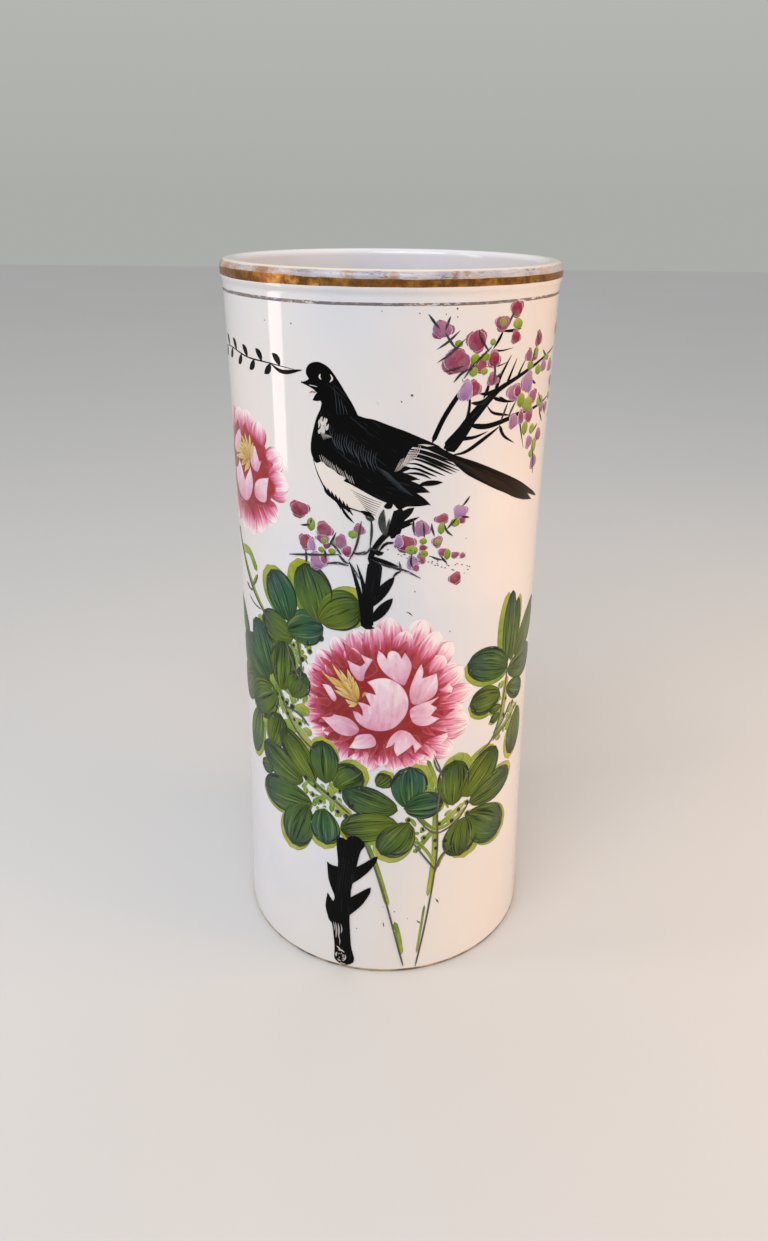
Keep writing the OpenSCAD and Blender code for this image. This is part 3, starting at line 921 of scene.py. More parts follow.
@dataclass
class Gilding:
    """The two gilded rings under the lip."""

    pot: Pot
    relief: float = 0.05 * MM
    thick: float = 0.12 * MM
    waver: float = 0.22 * MM
    dip: float = 0.02 * MM      # how far the ring's edges sink into the glaze
    trim: float = 0.7 * MM      # how far the brush stayed above the band's drawn edge

    def ring(self, name: str, low: float, high: float, radius: float, seed: int,
             swell: float) -> bpy.types.Object:
        """Turns a thin ring and lets its edges waver as the brush did.

        Args:
            name: Name of the piece.
            low: Height of its lower edge.
            high: Height of its upper edge.
            radius: Radius of the wall under it.
            seed: Seed of the brush's waver.
            swell: How much deeper the ring runs at the left of the front.

        Returns:
            The ring.
        """
        mid = (low + high) / 2
        r = radius + self.relief
        bevel = min(0.3 * MM, (high - low) / 4)
        profile = [(radius - self.thick, low), (radius - self.dip, low), (r, low + bevel), (r, mid),
                   (r, high - bevel), (radius - self.dip, high), (radius - self.thick, high)]
        piece = self.pot.turned(name, profile)
        hand = np.random.default_rng(seed)
        phase, height = hand.random(6) * 6.283, hand.random(6)
        rates = (3, 7, 13, 22, 37, 61)
        for corner in piece.data.vertices:
            angle = math.atan2(corner.co.x, -corner.co.y)
            wave = sum(h * math.sin(k * angle + p) / (1 + 0.04 * k)
                       for h, k, p in zip(height, rates, phase)) / 2.4
            side = 1 if corner.co.z > mid else -1
            edge = min(1.0, abs(corner.co.z - mid) / ((high - low) / 2))
            left = swell * math.exp(-((angle + 0.85) / 0.42) ** 2)
            corner.co.z += edge * (wave * self.waver * (1 if side > 0 else 0.6) + side * left)
        return piece

    def build(self, glaze: Glaze) -> None:
        """Builds and dresses both rings.

        Args:
            glaze: The glaze under them.
        """
        band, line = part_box("gilt_band"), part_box("gilt_line")
        gold = Gold("gilding", "7c4e1c", "d69a40", "b0a29a", 0.1, metal=0.7, roughness=0.27)
        faded = Gold("worn_gilding", "6c686c", "9a7c5a", "cfccd0", 0.2, metal=0.15, roughness=0.4)
        broad = self.ring("gilt_band_ring", band[0].z + self.trim, band[1].z, self.pot.lip_r, 5, 0.35 * MM)
        dress(broad, gold.make(glaze), "gilding", "gilt_band")
        radius = float(self.pot.radius((line[0].z + line[1].z) / 2))
        thin = self.ring("gilt_line_ring", line[0].z, line[1].z, radius, 9, 0.1 * MM)
        dress(thin, faded.make(glaze), "worn_gilding", "gilt_line")


@dataclass
class Blemishes:
    """Iron specks and kiln dust in the glaze."""

    specks: tuple = (  # place and size
        (6.8, 242.3, 0.8), (3.5, 240.3, 0.5), (-11.2, 22.3, 0.6), (14.2, 25.3, 0.8), (4, 32, 0.6),
        (21.8, 34.6, 1.0), (9.4, 28, 0.4), (20.6, 268.6, 0.6), (8.6, 267.4, 0.4), (-33.4, 263, 0.5),
        (-30, 245, 0.4), (9.4, 174, 0.5), (23.2, 157, 0.5), (28, 192, 0.4), (-45, 263, 0.4),
        (-3, 268, 0.35), (17, 267, 0.35), (100, 140, 0.8), (130, 60, 0.6), (155, 220, 0.7), (-120, 90, 0.8),
        (-150, 190, 0.6), (178, 120, 0.5), (110, 20, 0.6), (-95, 40, 0.7), (-170, 250, 0.5), (92, 255, 0.5))
    ticks: tuple = (
        ((-0.4, 26.8), (-0.2, 25.4), (0, 24)), ((13.2, 26.6), (14, 25.4), (14.6, 24.6)),
        ((21, 36), (21.8, 34.6), (22.6, 33)), ((6.6, 166.4), (8, 165.6), (8.8, 164.6)))

    def build(self, wall: Wall, enamels: dict) -> None:
        """Paints and dresses the blemishes."""
        motif = Motif("glaze_specks", wall, 61)
        for s, z, size in self.specks:
            motif.stroke([(s, z - size / 2), (s + 0.1, z), (s, z + size / 2)], size, Form.DAB, 0.8)
        for line in self.ticks:
            motif.stroke(line, 0.45, Form.REED, 1.0)
        lay(motif, enamels, "grey_enamel")


# Peonies --------------------------------------------------------------------------


@dataclass(frozen=True)
class PeonyPaint:
    """The four enamels of a peony."""

    pink: Enamel = Enamel(
        "pink_enamel",
        ((0.0, "8c2226"), (0.42, "9c2e38"), (0.6, "bd5072"), (0.78, "dd90b0"), (0.95, "eadfe5")),
        ((0.0, "96282a"), (0.3, "ac4048"), (0.46, "cc6a8a"), (0.66, "e4a8c0"), (0.85, "eee4e6")),
        hairs=11, stretch=0.9, ragged=0.32, light="f2e4ea", light_share=0.34, light_at=0.58, dark="a83a58",
        dark_share=0.42, dark_at=0.38, rim="a42e48", rim_share=0.8, rim_mm=1.1, rim_until=0.85, roughness=0.2,
        gloss=0.3, blot=0.06)
    crimson: Enamel = Enamel(
        "crimson_enamel", ((0.0, "82191d"), (0.5, "942124"), (0.7, "a83444"), (1.0, "c86c8a")),
        ((0.0, "962a2a"), (0.5, "a83a36"), (0.7, "b84c50"), (1.0, "d0829a")), hairs=10, ragged=0.3,
        light="bc5a54", light_share=0.3, rim="b8506c", rim_share=0.5, rim_mm=0.9, roughness=0.2, gloss=0.3,
        blot=0.04)
    pale: Enamel = Enamel(
        "pale_rose_enamel", ((0.0, "d596b0"), (0.35, "dfb2c8"), (0.7, "e6cbd9"), (1.0, "ebdfe6")),
        ((0.0, "b4607c"), (0.35, "cb88a4"), (0.7, "dcaec4"), (1.0, "e6cfdb")), hairs=5, stretch=1.6,
        ragged=0.5, light="eee6ea", light_share=0.25, dark="c4809a", dark_share=0.2, dark_at=0.38,
        rim="c8607e", rim_share=0.35, rim_mm=0.35, roughness=0.18, gloss=0.35, blot=0.2)
    yellow: Enamel = Enamel(
        "yellow_enamel", ((0.0, "a8782c"), (0.5, "c99c3c"), (1.0, "dcbc5a")),
        ((0.0, "c29a48"), (1.0, "d8c48c")), hairs=18, dark="5c3a18", dark_share=0.5, roughness=0.2, blot=0.1)


@dataclass
class Peony:
    """A full-blown peony: its ring of petals, the crimson ground, pale inner petals and stamens."""

    name: str
    nodes: tuple
    petals: tuple          # root, tip, width and tint of each outer petal, from the back to the front
    grounds: tuple         # outlines of the crimson ground, from the widest
    inner: tuple           # outline, root and tip of each pale inner petal, with its tint
    anthers: tuple         # root, bend and tip of each stamen, with its width
    wedges: int = 0        # how many crimson wedges run out between the petals
    eye: Point = (-1.2, 130.5)
    reach: tuple = (20, 17.5, 30.5, 27.5)  # half width and height where the wedges start and end

    def outer_ring(self, wall: Wall) -> Motif:
        """Paints the outer petals, each shading from crimson at its root to a pale tip."""
        motif = Motif(self.name + "_petals", wall, 21)
        for root, tip, width, tint in self.petals:
            mid = ((root[0] + tip[0]) / 2, (root[1] + tip[1]) / 2)
            motif.stroke([root, mid, tip], width, Form.PETAL, tint, pitch=1.1)
        return motif

    def ground(self, wall: Wall) -> Motif:
        """Washes the crimson ground in."""
        motif = Motif(self.name + "_heart", wall, 22)
        for outline, tint in self.grounds:
            points = np.array([p[:2] for p in outline])
            low, high = points.min(0), points.max(0)
            motif.wash(outline, tuple(low), tuple(2 * high - low), tint)
        for k in range(self.wedges):
            angle = 2 * math.pi * (k + 0.5 * motif.hand.random()) / self.wedges
            way = np.array([math.cos(angle), math.sin(angle)])
            faint = max(0.0, way[0] - 0.2)
            root = way * self.reach[:2] + self.eye
            tip = way * self.reach[2:] * (1 - 0.14 * faint - 0.08 * motif.hand.random()) + self.eye
            mid = (root + tip) / 2 + (motif.hand.random(2) - 0.5) * 1.4
            motif.stroke([root, mid, tip], 4.6 - 2.4 * faint, Form.TAPER, 0.6 * motif.hand.random())
        return motif

    def heart(self, wall: Wall) -> Motif:
        """Paints the pale inner petals with their notched tips."""
        motif = Motif(self.name + "_core", wall, 23)
        for outline, root, tip, tint in self.inner:
            motif.wash(outline, root, tip, tint, pitch=1.4)
        return motif

    def stamens(self, wall: Wall) -> Motif:
        """Draws the stamens."""
        motif = Motif(self.name + "_stamens", wall, 24)
        for line, width in self.anthers:
            motif.stroke(line, width, Form.REED, motif.hand.random())
        return motif

    def build(self, wall: Wall, enamels: dict) -> None:
        """Paints and dresses the flower.

        Args:
            wall: The wall it is painted on.
            enamels: The materials by slot.
        """
        steps = ((self.outer_ring, "pink_enamel"), (self.ground, "crimson_enamel"),
                 (self.heart, "pale_rose_enamel"), (self.stamens, "yellow_enamel"))
        for (step, slot), node in zip(steps, self.nodes):
            lay(step(wall), enamels, slot, node)


FRONT_PEONY = Peony(
    "front_peony", ("peony_petals", "peony_heart", "peony_core", "peony_stamens"),
    petals=(
        ((14, 118), (33.6, 116.4), 12.5, 0.95), ((13, 112), (26.6, 105.6), 9.5, 1.0),
        ((12, 140), (24.6, 152.6), 9.5, 1.0), ((15, 133), (29.6, 141.4), 10.5, 0.95),
        ((7, 143), (13.2, 163.2), 10.5, 0.85), ((0, 144), (0.6, 164.4), 10.5, 0.3),
        ((10, 142), (19, 157.6), 8.5, 1.0), ((-12, 141), (-20, 155), 8.5, 0.1),
        ((-7, 143), (-12.6, 158.8), 9, 0.2), ((-18, 137), (-26.6, 148.8), 8.5, 0.2),
        ((-19, 133), (-31, 141.6), 8, 0.1), ((-20, 130), (-33.2, 134.4), 7.5, 0),
        ((-20, 126), (-33.6, 127), 8, 0.1), ((-19, 122), (-33.4, 119.6), 8, 0),
        ((-17, 118), (-30.4, 112.8), 7.5, 0.3), ((-14, 114), (-24.4, 106), 8.5, 0.35),
        ((-9, 113), (-16.6, 101.8), 8.5, 0.4), ((10, 113), (18, 102.4), 8, 0.6),
        ((6, 112), (11.4, 100.2), 8, 0.4), ((1, 112), (3.4, 99.8), 7.5, 0.2),
        ((-5, 112), (-7.4, 99.6), 9, 0.5), ((15, 129), (35, 130.6), 9, 0.8),
        ((16, 124), (30.6, 123.2), 7.5, 0.6), ((13, 137), (21.4, 147.6), 8, 0.5),
        ((3, 144), (7, 159), 7.5, 0.1), ((-3.6, 143), (-5.6, 161), 8.5, 0.15),
        ((15, 131), (25.4, 133.4), 6.5, 0.4), ((-9, 141), (-14.6, 151.4), 6.5, 0),
        ((-16, 136), (-22.4, 145), 6.5, 0.1), ((12, 117), (24, 112.4), 7.5, 0.5),
        ((-20, 129), (-28, 130.6), 5.5, 0), ((-16, 119), (-25, 114.4), 6, 0.1),
        ((-2, 111), (-1.6, 102), 6, 0.1), ((8, 111), (14.4, 104.4), 5.5, 0),
        ((-10, 112), (-12.4, 104), 5.5, 0)),
    grounds=(
        (((-21, 121), (-10, 112), (2, 111), (14, 116), (18, 128), (14, 141), (2, 148), (-12, 145),
          (-21, 134)), 0.1), (((-9, 140), (-4, 143), (-5.4, 148), (-4.4, 153.6, C), (-2.6, 151.6),
          (1, 152.8), (4, 152.6), (6.6, 154.6, C), (8, 150.4), (9.6, 147), (10.4, 144), (15.6, 145.6, C),
          (16, 141), (19.4, 138), (20.4, 133), (25.4, 131.4, C), (20.6, 129.6), (22, 125), (26.6, 124.4, C),
          (21, 120.6), (17, 118), (24, 114.6, C), (17, 113), (14, 109.6), (16.6, 105.4, C), (11, 108),
          (7, 107.4), (6.4, 103.4, C), (3, 108), (-1, 109), (-3.6, 104.4, C), (-6.6, 108), (-11, 107.6),
          (-14.6, 104.8, C), (-14.6, 110), (-18, 111.6), (-26, 109.6, C), (-22, 115), (-30, 117.4, C),
          (-26, 120.4), (-24.6, 123), (-31, 123.6, C), (-26, 127.4), (-30.6, 131, C), (-26.6, 132.6),
          (-25.6, 136), (-29, 140.4, C), (-22, 139.4), (-19.6, 141), (-22.8, 148, C), (-16.6, 144.6),
          (-15, 147), (-16.4, 153.6, C), (-11, 147.6), (-9, 150), (-9.2, 156, C), (-6.4, 147)), 0.0),),
    inner=(
        (((-10, 144.5), (-14.6, 146.4, C), (-13.4, 142, C), (-11, 138.8), (-8.6, 138.6), (-8, 142),
          (-5.2, 147.4, C), (-9.6, 149.2, C), (-8, 146, C)), (-9, 137), (-11, 149), 0.6),
        (((-20.6, 128.6), (-24.8, 134.8, C), (-21.6, 134.6), (-19.8, 132), (-19, 129.6)), (-19, 127.6),
         (-24, 136), 0.2), (((6, 137), (2, 139.6), (-1.6, 143), (-3.6, 147), (-3.2, 151.2, C),
          (-1.4, 149.8), (-0.1, 147.8, C), (0.4, 150.4), (2, 151.2), (4, 150.2), (5.2, 147.9, C),
          (6.4, 150.4, C), (8.4, 147), (8.9, 144), (7.4, 139)), (6, 136), (1, 152), 0.3),
        (((8.4, 133.6), (9, 137.4), (11, 142.6), (12.6, 145.2, C), (13.4, 142), (13, 139.4, C), (15.6, 140),
          (18.6, 140.8, C), (19.2, 136), (18.6, 132.6), (16.4, 130.4), (11.4, 128.6), (9.2, 129.6)),
         (9, 129), (16, 143), 0.4), (((8.8, 126.6), (12, 128.6), (16, 129.6), (19.8, 130.8, C),
          (16.6, 128, C), (19.2, 126.2, C), (16.8, 123.2, C), (20.4, 121.4, C), (16, 119.2), (12, 119.6),
          (9.4, 122)), (8, 124), (20, 126), 0.35), (((5, 118), (1.6, 115), (-0.2, 110.2, C), (2.2, 111.4),
          (3.2, 112.8, C), (3, 109.6), (4.2, 106.6, C), (7, 108.6), (10.2, 111.4, C), (11, 107.6, C),
          (12.2, 109), (13.6, 110.4, C), (11, 113.6), (8.6, 116.8)), (6, 118.5), (5, 106), 0.1),
        (((-7, 116.2), (-11, 115), (-12.6, 112), (-14.2, 109.2, C), (-9, 109.4), (-4.6, 110.8), (-3.8, 113),
          (-5, 115.4)), (-4, 115), (-14, 110), 0.15), (((-10.4, 118.4), (-14, 122), (-20, 122.8, C),
          (-21.4, 121.4), (-25.2, 120.4, C), (-22, 117.6), (-18.4, 114.8), (-14, 114.4), (-11, 116)),
         (-11, 117), (-25, 121), 0.55), (((-7.2, 138.2, C), (-3.4, 139.8), (0.6, 139.8), (5, 137),
          (7.6, 132.4), (8, 127.6), (6.4, 123.2), (2.6, 119), (-2.6, 117.6), (-8, 118.8), (-11.4, 121.8),
          (-12.6, 125.4, C), (-10.6, 125), (-8.8, 123.6, C), (-9.2, 126.6), (-10.8, 129.4, C),
          (-8.6, 129.2), (-6, 128.2, C), (-7, 130.8), (-8.4, 133.8, C), (-6.4, 133.6), (-4, 133, C),
          (-5.2, 135.8)), (-2, 117), (-2, 140), 0.12)),
    anthers=(
        (((-11, 129.5), (-15, 133), (-19.5, 136), (-24.6, 139.8)), 1.5), (((-11, 130), (-14, 134),
          (-17.5, 139.5), (-20.5, 143.8)), 1.7), (((-11, 130), (-13.5, 135), (-16, 139.5), (-17.8, 142.2)),
         1.6), (((-10.6, 130.4), (-12.4, 135), (-13.6, 139), (-14.6, 142.6)), 2.0),
        (((-10.4, 130.6), (-11, 134), (-11.8, 138.2)), 1.7), (((-11, 129.5), (-15, 131.4), (-20, 133.2)),
         1.8), (((-11, 129), (-13.5, 128.8), (-15.4, 130)), 1.5), (((-10.8, 129), (-12.6, 127.8),
          (-14.2, 127.2)), 1.3), (((-10.8, 130), (-13, 132.4), (-17.6, 136.6), (-21.4, 138.4)), 1.8),
        (((-9, 131.6), (-8.4, 133), (-7.8, 134)), 1.0), (((-11, 130), (-12.6, 133.4), (-15.6, 137.6)), 1.6),
        (((-11, 129.8), (-14.6, 132.6), (-19.6, 134.8)), 1.6), (((-10.8, 130.2), (-12.4, 134.2),
          (-12.6, 140)), 1.5)),
    wedges=25)

SIDE_PEONY = Peony(
    "left_peony", ("side_peony_petals", "side_peony_heart", "side_peony_core", "side_peony_stamens"),
    petals=(
        ((-70, 214), (-87, 222), 12, 0.5), ((-69, 220), (-79, 229), 11, 0.4),
        ((-70, 208), (-89, 211), 12, 0.7), ((-65, 218), (-69, 231), 11, 0.5),
        ((-70, 201), (-87, 200), 12, 0.5), ((-60, 218), (-60, 231.5), 11, 0.6),
        ((-54, 217), (-51, 229), 10, 0.6), ((-72, 197), (-81, 188), 11, 0.6),
        ((-51, 213), (-39.5, 218.5), 10, 0.9), ((-50, 206), (-36.8, 208.5), 11.5, 0.8),
        ((-52, 201), (-43.5, 194), 10, 0.9), ((-66, 197), (-69, 185.5), 11, 0.7),
        ((-57, 199), (-53, 187.5), 11, 0.8), ((-60, 198), (-61, 184.5), 9, 0.8)),
    grounds=(
        (((-75, 222), (-69, 226.4, C), (-66, 223.4), (-61.5, 226.6, C), (-58.5, 224), (-54.5, 223, C),
          (-52, 221.6), (-48, 220.5, C), (-47.4, 216.6), (-44, 215.2, C), (-46.6, 211.8), (-43.4, 207.6, C),
          (-44, 204.6), (-46.5, 202), (-45, 199.6, C), (-51, 198.4), (-56.4, 197), (-57.6, 191.4, C),
          (-62, 194.8), (-68, 196), (-76, 196.5), (-82, 200), (-80, 207), (-83, 213), (-78, 217)), 0.2),),
    inner=(
        (((-66, 220.4), (-66.4, 223.6, C), (-70, 221.8), (-75, 218), (-77, 214), (-72, 213.4),
          (-67.4, 216)), (-66, 214), (-74, 223), 0.4), (((-52, 214.6), (-54.4, 219.6, C), (-57.6, 219),
          (-59, 215.4), (-57.6, 211.6), (-54.4, 210.4), (-52.6, 211.6), (-50.6, 215.4, C)), (-57, 210),
         (-53, 220), 0.45), (((-56.4, 201.2), (-56, 205.4), (-53, 208), (-47, 209.8, C), (-48.2, 205),
          (-49.2, 200.6), (-53, 199.8)), (-57, 201), (-47, 209), 0.3), (((-60.4, 199.6), (-58, 203.4),
          (-57.6, 207), (-58.8, 211.2, C), (-61.6, 208), (-64.6, 204.8, C), (-66.6, 208), (-70, 211.4, C),
          (-73, 208), (-77.6, 206.6, C), (-76.6, 202), (-72.6, 198.4), (-67.6, 197), (-63.6, 197.4)),
         (-66, 197), (-66, 212), 0.15)),
    anthers=tuple((((-58.5, 214), ((-58.5 + s) / 2 + 0.3, (214 + z) / 2 + 0.6), (s, z)), 1.9) for s, z in (
        (-75, 211.5), (-74, 214.5), (-72, 217), (-69, 219.4), (-65.6, 221.4), (-62, 222.8), (-58, 223),
        (-55.6, 220.6), (-68, 209.6), (-64, 208.2), (-61.4, 209.6), (-71, 212.6), (-67, 217), (-63.4, 219))))


# Foliage --------------------------------------------------------------------------


@dataclass(frozen=True)
class Leaf:
    """A painted leaf: root, tip, width, tint from olive to blue-green, and the lime halo's drift."""

    root: Point
    tip: Point
    width: float
    tint: float = 0.3
    halo: tuple | None = None
    bend: float = 0.0

    def ways(self) -> tuple[np.ndarray, np.ndarray]:
        """Gives the leaf's way from root to tip, and the way to its right."""
        run = np.subtract(self.tip, self.root).astype(float)
        way = run / np.hypot(*run)
        return way, np.array([way[1], -way[0]])

    def spine(self, grow: float = 0.0, drift: Point = (0, 0)) -> list[np.ndarray]:
        """Gives the leaf's middle line, longer by grow and moved by drift."""
        way, side = self.ways()
        a, b = self.root - way * grow * 0.7 + drift, self.tip + way * grow + drift
        return [a, (a + b) / 2 + side * self.bend, b]


@dataclass
class Foliage:
    """The peonies' leaves, their halos, stems and seeds."""

    full: float = 1.26   # how far the brush spread when it was pressed
    leaves: tuple = (
        # Spray at the left, above the flower
        Leaf((-64, 124), (-80, 113), 13, 0.6), Leaf((-70, 140), (-86, 150), 10, 0.6),
        Leaf((-61, 110), (-69, 88), 10, 0.45, (1.5, -1)), Leaf((-66, 129), (-80, 134), 13, 0.8),
        Leaf((-53, 127), (-71, 138), 15, 0.7), Leaf((-51, 131), (-61, 150), 12.5, 0.85),
        Leaf((-48, 124), (-65, 112.5), 14.5, 0.25, (0, -1.5)), Leaf((-38, 150.8), (-54.5, 153.5), 11.5,
         0.35, bend=-0.6), Leaf((-39.5, 153), (-25, 157.5), 11.5, 0.85, bend=-0.8),
        Leaf((-39.5, 157.5), (-47.5, 174), 12.5, 0.95, (-2.2, 0.6), bend=0.8),
        Leaf((-25.5, 160.5), (-31, 180.5), 12.5, 0.45, (-2.8, 0.6), bend=0.6),
        Leaf((-24.8, 160.5), (-10.5, 168.5), 12.5, 0.15, (2.2, 1.2), bend=-0.8),
        Leaf((-44.5, 127), (-42, 146.5), 11, 0.2, (0, 1.5), bend=-0.4), Leaf((-38.5, 126), (-32.5, 136),
         8.5, 0.35, bend=-0.4), Leaf((-51.5, 98.5), (-46, 113.5), 10, 0.1, (-1.5, 0.8)),
        # Spray under the flower, at the left
        Leaf((-31, 79.5), (-57.5, 75), 13, 0.55, (0, -1.2), bend=0.8), Leaf((-35, 88.5), (-57, 96), 12,
         0.45, bend=-0.6), Leaf((-29, 91), (-44.5, 108), 10.5, 0.1, bend=0.5),
        Leaf((-33, 77.5), (-40.5, 56.5), 12.5, 0.6, (-1.2, -1.8), bend=0.4),
        Leaf((-25, 78), (-24, 62.8), 10.5, 0.85, (-0.8, -1.8)), Leaf((-24, 91.8), (-25, 109), 10, 0.5,
         (0, 1.3)), Leaf((-19.5, 91), (-10, 98.5), 10.5, 0.4, (1.3, 1.3), bend=-0.6),
        Leaf((-52, 87.5), (-59, 85), 5.5, 0.6),
        # Spray under the flower, in the middle
        Leaf((-3, 93.5), (1, 97), 6, 0.3, (0.5, 0.8)), Leaf((4, 82), (-15.8, 89), 10.5, 0.5, bend=-0.4),
        Leaf((4, 75.5), (-16.5, 71), 11, 0.15, (0, -1.6), bend=0.6), Leaf((9, 75), (-1, 62), 11.5, 0.35,
         (-0.6, -2.0), bend=-0.8), Leaf((9.5, 83), (9, 100.5), 11.5, 0.9, (2.6, 0.4)),
        Leaf((8, 82.5), (22, 82.5), 10, 0.85, (0.8, 0.8), bend=-0.5),
        # Spray under the flower, at the right
        Leaf((27.5, 81), (27.5, 100), 11.5, 0.25, (1.6, 2.4)), Leaf((32.5, 83.5), (48.5, 99), 12.5, 0.0,
         (-2.2, 1.2), bend=0.6), Leaf((36, 79), (59.5, 82.5), 11, 0.35, (1, 1), bend=-0.5),
        Leaf((34.5, 73), (55, 58.5), 14.5, 0.45, (1.6, -1.2), bend=0.8), Leaf((33, 72), (31.5, 55.5), 13,
         0.25, (2.6, -1.4), bend=0.6),
        # Spray at the right
        Leaf((66, 110), (62, 91), 11, 0.2, (-1.5, -1)), Leaf((60, 137), (82, 152), 12, 0.35),
        Leaf((55, 132), (79, 129.5), 11, 0.5), Leaf((55, 124.5), (68, 118), 7.5, 0.6),
        Leaf((56.5, 136), (59.5, 160), 6, 0.2, (1, 0.6)), Leaf((53, 135.5), (54.5, 164.5), 7, 0.5,
         (-3, -0.4)), Leaf((53.5, 134), (32.5, 141.5), 11.5, 0.65, (-0.6, -1.6), bend=0.8),
        Leaf((49.5, 123), (34.5, 124), 10, 0.2, (0, -1.4)), Leaf((50.5, 117.5), (45, 117.5), 3, 0.2,
         (0, -0.6)), Leaf((50, 114), (45.5, 113), 3.2, 0.3, (0, -0.6)))
    stems: tuple = (  # places that each stem runs through
        ((-8, 66), (-1, 44), (8, 3)), ((18.5, 106), (22, 95), (20.8, 80), (21.2, 62), (20, 47), (17, 25),
         (13, 2)), ((20.6, 50), (23, 57), (28, 61)), ((11, 66), (16, 58), (21, 50)),
        ((12, 78), (20, 69), (29, 72), (35, 79)), ((18.5, 104), (20, 99), (23, 96)),
        ((-32, 92), (-20, 84), (-13.5, 78.5)), ((-36, 152), (-34, 140), (-36, 124)),
        ((-46, 126), (-38, 112), (-28, 104)), ((-41, 148), (-37, 138), (-30, 128)),
        ((-44, 120), (-36, 119), (-31, 115)), ((38, 100), (46, 104), (50, 112), (53, 124), (54, 134)),
        ((46, 104), (55, 107), (64, 113)), ((47, 107), (52, 109), (58, 116)),
        ((-78, 183), (-65, 165), (-53, 155), (-44, 149)), ((-64, 164), (-60, 166), (-58, 169.5)),
        ((-62, 162), (-66, 161.5), (-69, 163)), ((-56, 156), (-62, 156.5), (-67, 158.5)))
    fills: tuple = (  # line and width of each lime stroke along a stem
        (((-34, 91.5), (-24, 86), (-13, 78)), 3.6), (((-30, 80), (-24, 85), (-17, 92)), 2.6),
        (((-21.6, 78), (-21, 84), (-23, 90)), 2.4), (((-48, 128), (-40, 116), (-29, 105)), 4),
        (((-41, 151), (-37, 140), (-33, 128)), 3.2), (((47, 103), (52, 114), (54, 130)), 3.4),
        (((12, 61), (19, 70), (33, 80)), 2.6), (((-8.5, 69), (-3.5, 55), (1.5, 35)), 2.4),
        (((4.2, 27), (6, 19), (7.2, 9)), 2.1), (((20.8, 51), (23.4, 57), (28, 61)), 2.0),
        (((20.4, 94), (19.8, 76), (19.8, 60), (18.8, 48), (17.6, 38)), 2.1),
        (((16.4, 34), (14.8, 20), (13.4, 9)), 1.2), (((12, 67), (17, 60.5), (20.5, 53)), 1.5),
        (((16, 104), (19, 96), (20.5, 90)), 1.8), (((13, 78), (20, 71), (27, 72.5), (34, 78)), 1.6),
        (((-31, 91), (-21, 85), (-14.5, 79)), 2.0), (((-45, 124), (-38, 113.5), (-31, 108)), 2.2),
        (((47, 103), (51, 111), (53.5, 122)), 2.0), (((46, 105), (54, 107.5), (62, 113)), 2.2),
        (((-77, 181), (-65, 167), (-54, 156), (-46, 150)), 2.2), (((-63, 163), (-60, 167), (-57.5, 170)),
         2.0), (((-58, 171), (-64, 177), (-73, 176)), 3.6))
    seeds: tuple = (
        (-30, 147), (-30.5, 150.4), (-25, 153.4), (-38, 115.5), (-35.4, 114.5), (-37.5, 147.5),
        (-33.5, 143), (-35, 138), (-47, 123.5), (-44.2, 122.6), (-42, 121.4), (-39, 120.8), (-48, 117.5),
        (-41.5, 117), (-28.6, 88.4), (-33, 91), (-23, 86.6), (-18, 89), (-20.5, 85.2), (-26.4, 82),
        (-30, 84), (-19, 79), (-15.6, 77.8), (-13, 83), (9, 77), (15, 71.8), (15.4, 67.6), (20, 65.4),
        (20.4, 61.6), (24.5, 64), (21.6, 73), (30, 77.4), (27, 73), (34, 79.4), (34.4, 74), (53, 112.5),
        (54, 119.5), (60, 115))
    dabs: tuple = (  # place, width and height of each lime dab
        (-43, 152, 5, 6), (-36, 146, 4, 8), (-40, 128, 9, 6), (-47, 121, 7, 7), (-40, 112, 9, 6),
        (-34, 121, 7, 6), (-47, 104, 5, 7), (-33, 129, 4, 8), (-51, 112, 6, 6), (-50, 130, 6, 10),
        (-54, 106, 5, 10), (-40, 147, 5, 4), (-32, 112, 4.6, 4.2), (-29.5, 107.5, 3, 2.6),
        (-36, 106.5, 3, 2.4), (-38.5, 124, 4, 3), (-44.5, 122, 4, 3.4), (-36.5, 115.5, 4.6, 2.6),
        (-41, 116, 3.6, 3), (-30.5, 148.5, 2.6, 4.6), (-25.5, 153.5, 3, 2.6), (-35, 142, 2.4, 4),
        (29, 102, 6, 4.6), (37, 96.5, 6, 4), (-23, 86, 2.6, 2.6), (-28.6, 88.4, 2.8, 3), (-19, 79, 2.6, 3),
        (-30, 84, 2.6, 3), (-13.5, 82.5, 2.6, 3), (15, 71.8, 2.6, 2.6), (20.2, 63.5, 2.6, 4.4),
        (28, 73.5, 3.4, 2.8), (34.4, 74.3, 3, 2.6), (22, 73.3, 2.6, 2.4), (30, 77.4, 2.8, 3),
        (50, 108, 3.4, 4), (58, 113, 6, 3.4), (53.5, 119, 3, 5), (50.5, 127, 4, 3.4), (58, 105, 6, 4),
        (-57, 152, 5, 4), (-63, 148, 4.4, 4))
    flecks: tuple = (  # low and high corner of each patch of lime flecks, and how many
        ((-52, 102), (-31, 152), 90), ((-34, 76), (-11, 91), 34), ((8, 60), (36, 82), 18),
        ((45, 103), (64, 129), 40), ((-24, 100), (-33, 108), 10))

